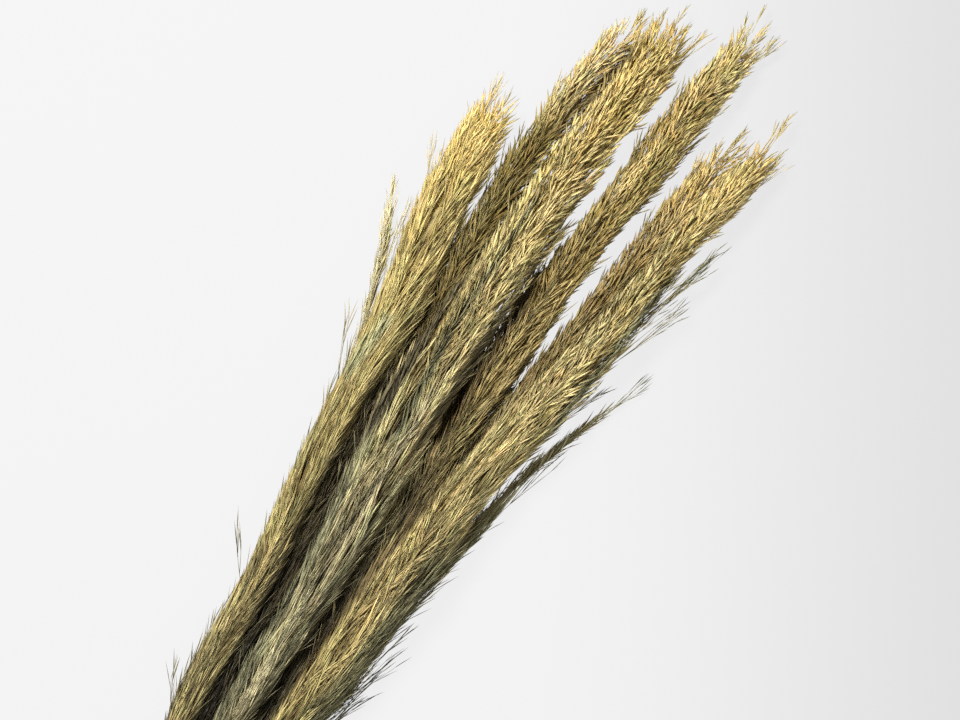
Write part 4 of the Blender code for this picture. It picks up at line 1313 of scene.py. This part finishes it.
def floor(settings):
    """White paper that glows a little, so that its shadows are weak, and is dimmer to the right."""
    start_piece()
    bpy.ops.mesh.primitive_grid_add(x_subdivisions=4, y_subdivisions=4, size=FLOOR_SIZE)
    made = bpy.context.object
    made.name = "floor"
    finish = Finish("floor_paper")
    x, y = finish.x_and_y(finish.place())
    toward_right = x * ALONG_RIGHT[0] + y * ALONG_RIGHT[1]
    middle = SHIFT.x * ALONG_RIGHT[0] + SHIFT.y * ALONG_RIGHT[1]
    share = finish.between(toward_right, middle, middle + DIMMER_OVER)
    finish.set(
        Base_Color=(0.04, 0.04, 0.04),
        Roughness=0.9,
        Specular_IOR_Level=0.0,
        Emission_Color=finish.mix(share, settings.floor_left, settings.floor_right),
        Emission_Strength=1.0,
    )
    made.data.materials.append(finish.material)


def setting(name, description, default, kind=FloatProperty, **more):
    """A number that isn't negative, for the user to change."""
    return kind(name=name, description=description, default=default, **{"min": 0, **more})


def length_setting(name, description, default):
    return setting(name, description, default, precision=4, unit="LENGTH")


def angle_setting(name, description, degrees):
    return setting(name, description, math.radians(degrees), subtype="ANGLE")


def colour_setting(name, description, default):
    return setting(name, description, default, FloatVectorProperty, max=1, size=3, subtype="COLOR")


class SpikeletSettings(PropertyGroup):
    amount: setting("Spikelets", "How many the eight plumes have together", 60000, IntProperty, min=1000)
    length: length_setting("Length", "Of a spikelet towards a plume's tip", 0.0165)
    low_length: length_setting("Length low down", "Of a spikelet low on a plume", 0.029)
    width: length_setting("Width", "Of a spikelet towards a plume's tip", 0.0018)
    low_width: length_setting("Width low down", "Of a spikelet low on a plume", 0.0014)
    spread: angle_setting("Spread", "Between a spikelet and its branch towards a plume's tip", 8)
    low_spread: angle_setting("Spread low down", "Between a spikelet and its branch low on a plume", 3)


class PlumeColours(PropertyGroup):
    __annotations__ = {
        f"{reed}_{place}": colour_setting(
            f"{reed} {place}".replace("_", " ").capitalize(), "Colour of the spikelets there", default
        )
        for reed, defaults in COLOURS.items()
        for place, default in zip(PLACES, defaults)
    }


class StemSettings(PropertyGroup):
    colour: colour_setting("Colour", "Of the cane", (0.50, 0.40, 0.16))
    second_colour: colour_setting("Second colour", "Of the cane's greener patches", (0.36, 0.35, 0.15))
    sheath_colour: colour_setting("Sheaths", "What is left of the leaves round the cane", (0.58, 0.47, 0.25))
    joint_colour: colour_setting("Joints", "The rings where leaves grew", (0.20, 0.13, 0.06))
    cut_colour: colour_setting("Cut end", "The wood and the hollow inside", (0.68, 0.58, 0.38))
    sheath_thickness: length_setting("Sheath thickness", "How far a sheath stands out", 0.0003)


class TwineSettings(PropertyGroup):
    colour: colour_setting("Colour", "Of the fibres on top", (0.50, 0.37, 0.20))
    # Low in the grain: the fibres' darker colour and painted shade between them.
    grain_and_shade_colour: colour_setting("Dark colour", "Between the fibres", (0.22, 0.15, 0.08))
    ply_radius: length_setting("Ply radius", "Of each of the plies", 0.00064)
    twist_length: length_setting("Twist length", "In which a ply goes once round the others", 0.0085)


class StageSettings(PropertyGroup):
    floor_left: colour_setting("Floor on the left", "Where the light is near", (0.83, 0.83, 0.835))
    floor_right: colour_setting("Floor on the right", "Away from the light", (0.66, 0.66, 0.665))
    key_power: setting("Key light", "From the upper left", 61, unit="POWER")
    fill_power: setting("Fill light", "From the right", 8, unit="POWER")
    key_size: length_setting("Key size", "Side of the key light", 0.5)
    surroundings: setting("Surroundings", "Light from all sides", 0.42, subtype="FACTOR")
    lens: setting("Lens", "Focal length of the camera", 85, min=20, unit="CAMERA")


GROUPS = {
    "spikelets": (SpikeletSettings, "Sizes of the spikelets"),
    "colours": (PlumeColours, "Colours of the plumes"),
    "stems": (StemSettings, "The cut stems"),
    "twine": (TwineSettings, "The tie"),
    "stage": (StageSettings, "Light, floor and camera"),
}


class BundleSettings(PropertyGroup):
    __annotations__ = {
        group: PointerProperty(type=kind, name=group.capitalize(), description=description)
        for group, (kind, description) in GROUPS.items()
    }


class REEDS_OT_plumes(Operator):
    """Grow the eight plumes on their solids"""

    bl_idname = "reeds.plumes"
    bl_label = "Grow plumes"

    def execute(self, context):
        settings = context.scene.reeds
        grain, stalk, spray = spikelet_shape(), tube(3, 3), tube(3, SPRAY_STEPS)
        for reed in PLUMES:
            Plume(reed, settings.spikelets, grain, stalk, spray).grow(settings.colours)
        return {"FINISHED"}


class REEDS_OT_stems(Operator):
    """Model the eight cut stems"""

    bl_idname = "reeds.stems"
    bl_label = "Model stems"

    def execute(self, context):
        settings = context.scene.reeds.stems
        finish = stem_finish(settings)
        for reed in PLUMES:
            stem(reed, settings, finish)
        return {"FINISHED"}


class REEDS_OT_tie(Operator):
    """Wind the twine round the stems and knot it"""

    bl_idname = "reeds.tie"
    bl_label = "Wind tie"

    def execute(self, context):
        tie(context.scene.reeds.twine)
        return {"FINISHED"}


class REEDS_OT_stage(Operator):
    """Set up the floor, the lights and the camera"""

    bl_idname = "reeds.stage"
    bl_label = "Set stage"

    def execute(self, context):
        settings = context.scene.reeds.stage
        scene = context.scene
        scene.view_settings.view_transform = "Standard"
        scene.cycles.use_denoising = False
        scene.cycles.max_bounces = 4
        scene.cycles.diffuse_bounces = 2
        world = bpy.data.worlds.new("studio")
        world.use_nodes = True
        background = world.node_tree.nodes["Background"]
        background.inputs["Color"].default_value = (1, 1, 1, 1)
        background.inputs["Strength"].default_value = settings.surroundings
        scene.world = world
        area_light("key", KEY_TOWARD, KEY_DISTANCE, settings.key_size, settings.key_power)
        area_light("fill", FILL_TOWARD, FILL_DISTANCE, FILL_SIZE, settings.fill_power)
        floor(settings)
        camera(settings)
        return {"FINISHED"}


class REEDS_PT_bundle(Panel):
    """The settings and the steps of the bundle"""

    bl_label = "Bundle of reed plumes"
    bl_space_type = "VIEW_3D"
    bl_region_type = "UI"
    bl_category = "Reeds"

    def draw(self, context):
        settings = context.scene.reeds
        for group in GROUPS:
            box = self.layout.box()
            box.label(text=group.capitalize())
            held = getattr(settings, group)
            for name in held.bl_rna.properties.keys():
                if name not in ("rna_type", "name"):
                    box.prop(held, name)
        for operator in OPERATORS:
            self.layout.operator(operator.bl_idname)


OPERATORS = (REEDS_OT_plumes, REEDS_OT_stems, REEDS_OT_tie, REEDS_OT_stage)
CLASSES = (*(kind for kind, _ in GROUPS.values()), BundleSettings, *OPERATORS, REEDS_PT_bundle)


def register():
    for each in CLASSES:
        bpy.utils.register_class(each)
    bpy.types.Scene.reeds = PointerProperty(type=BundleSettings)


def unregister():
    del bpy.types.Scene.reeds
    for each in reversed(CLASSES):
        bpy.utils.unregister_class(each)


def main():
    register()
    bpy.ops.reeds.plumes()
    bpy.ops.reeds.stems()
    bpy.ops.reeds.tie()
    bpy.ops.reeds.stage()


if __name__ == "__main__":
    main()
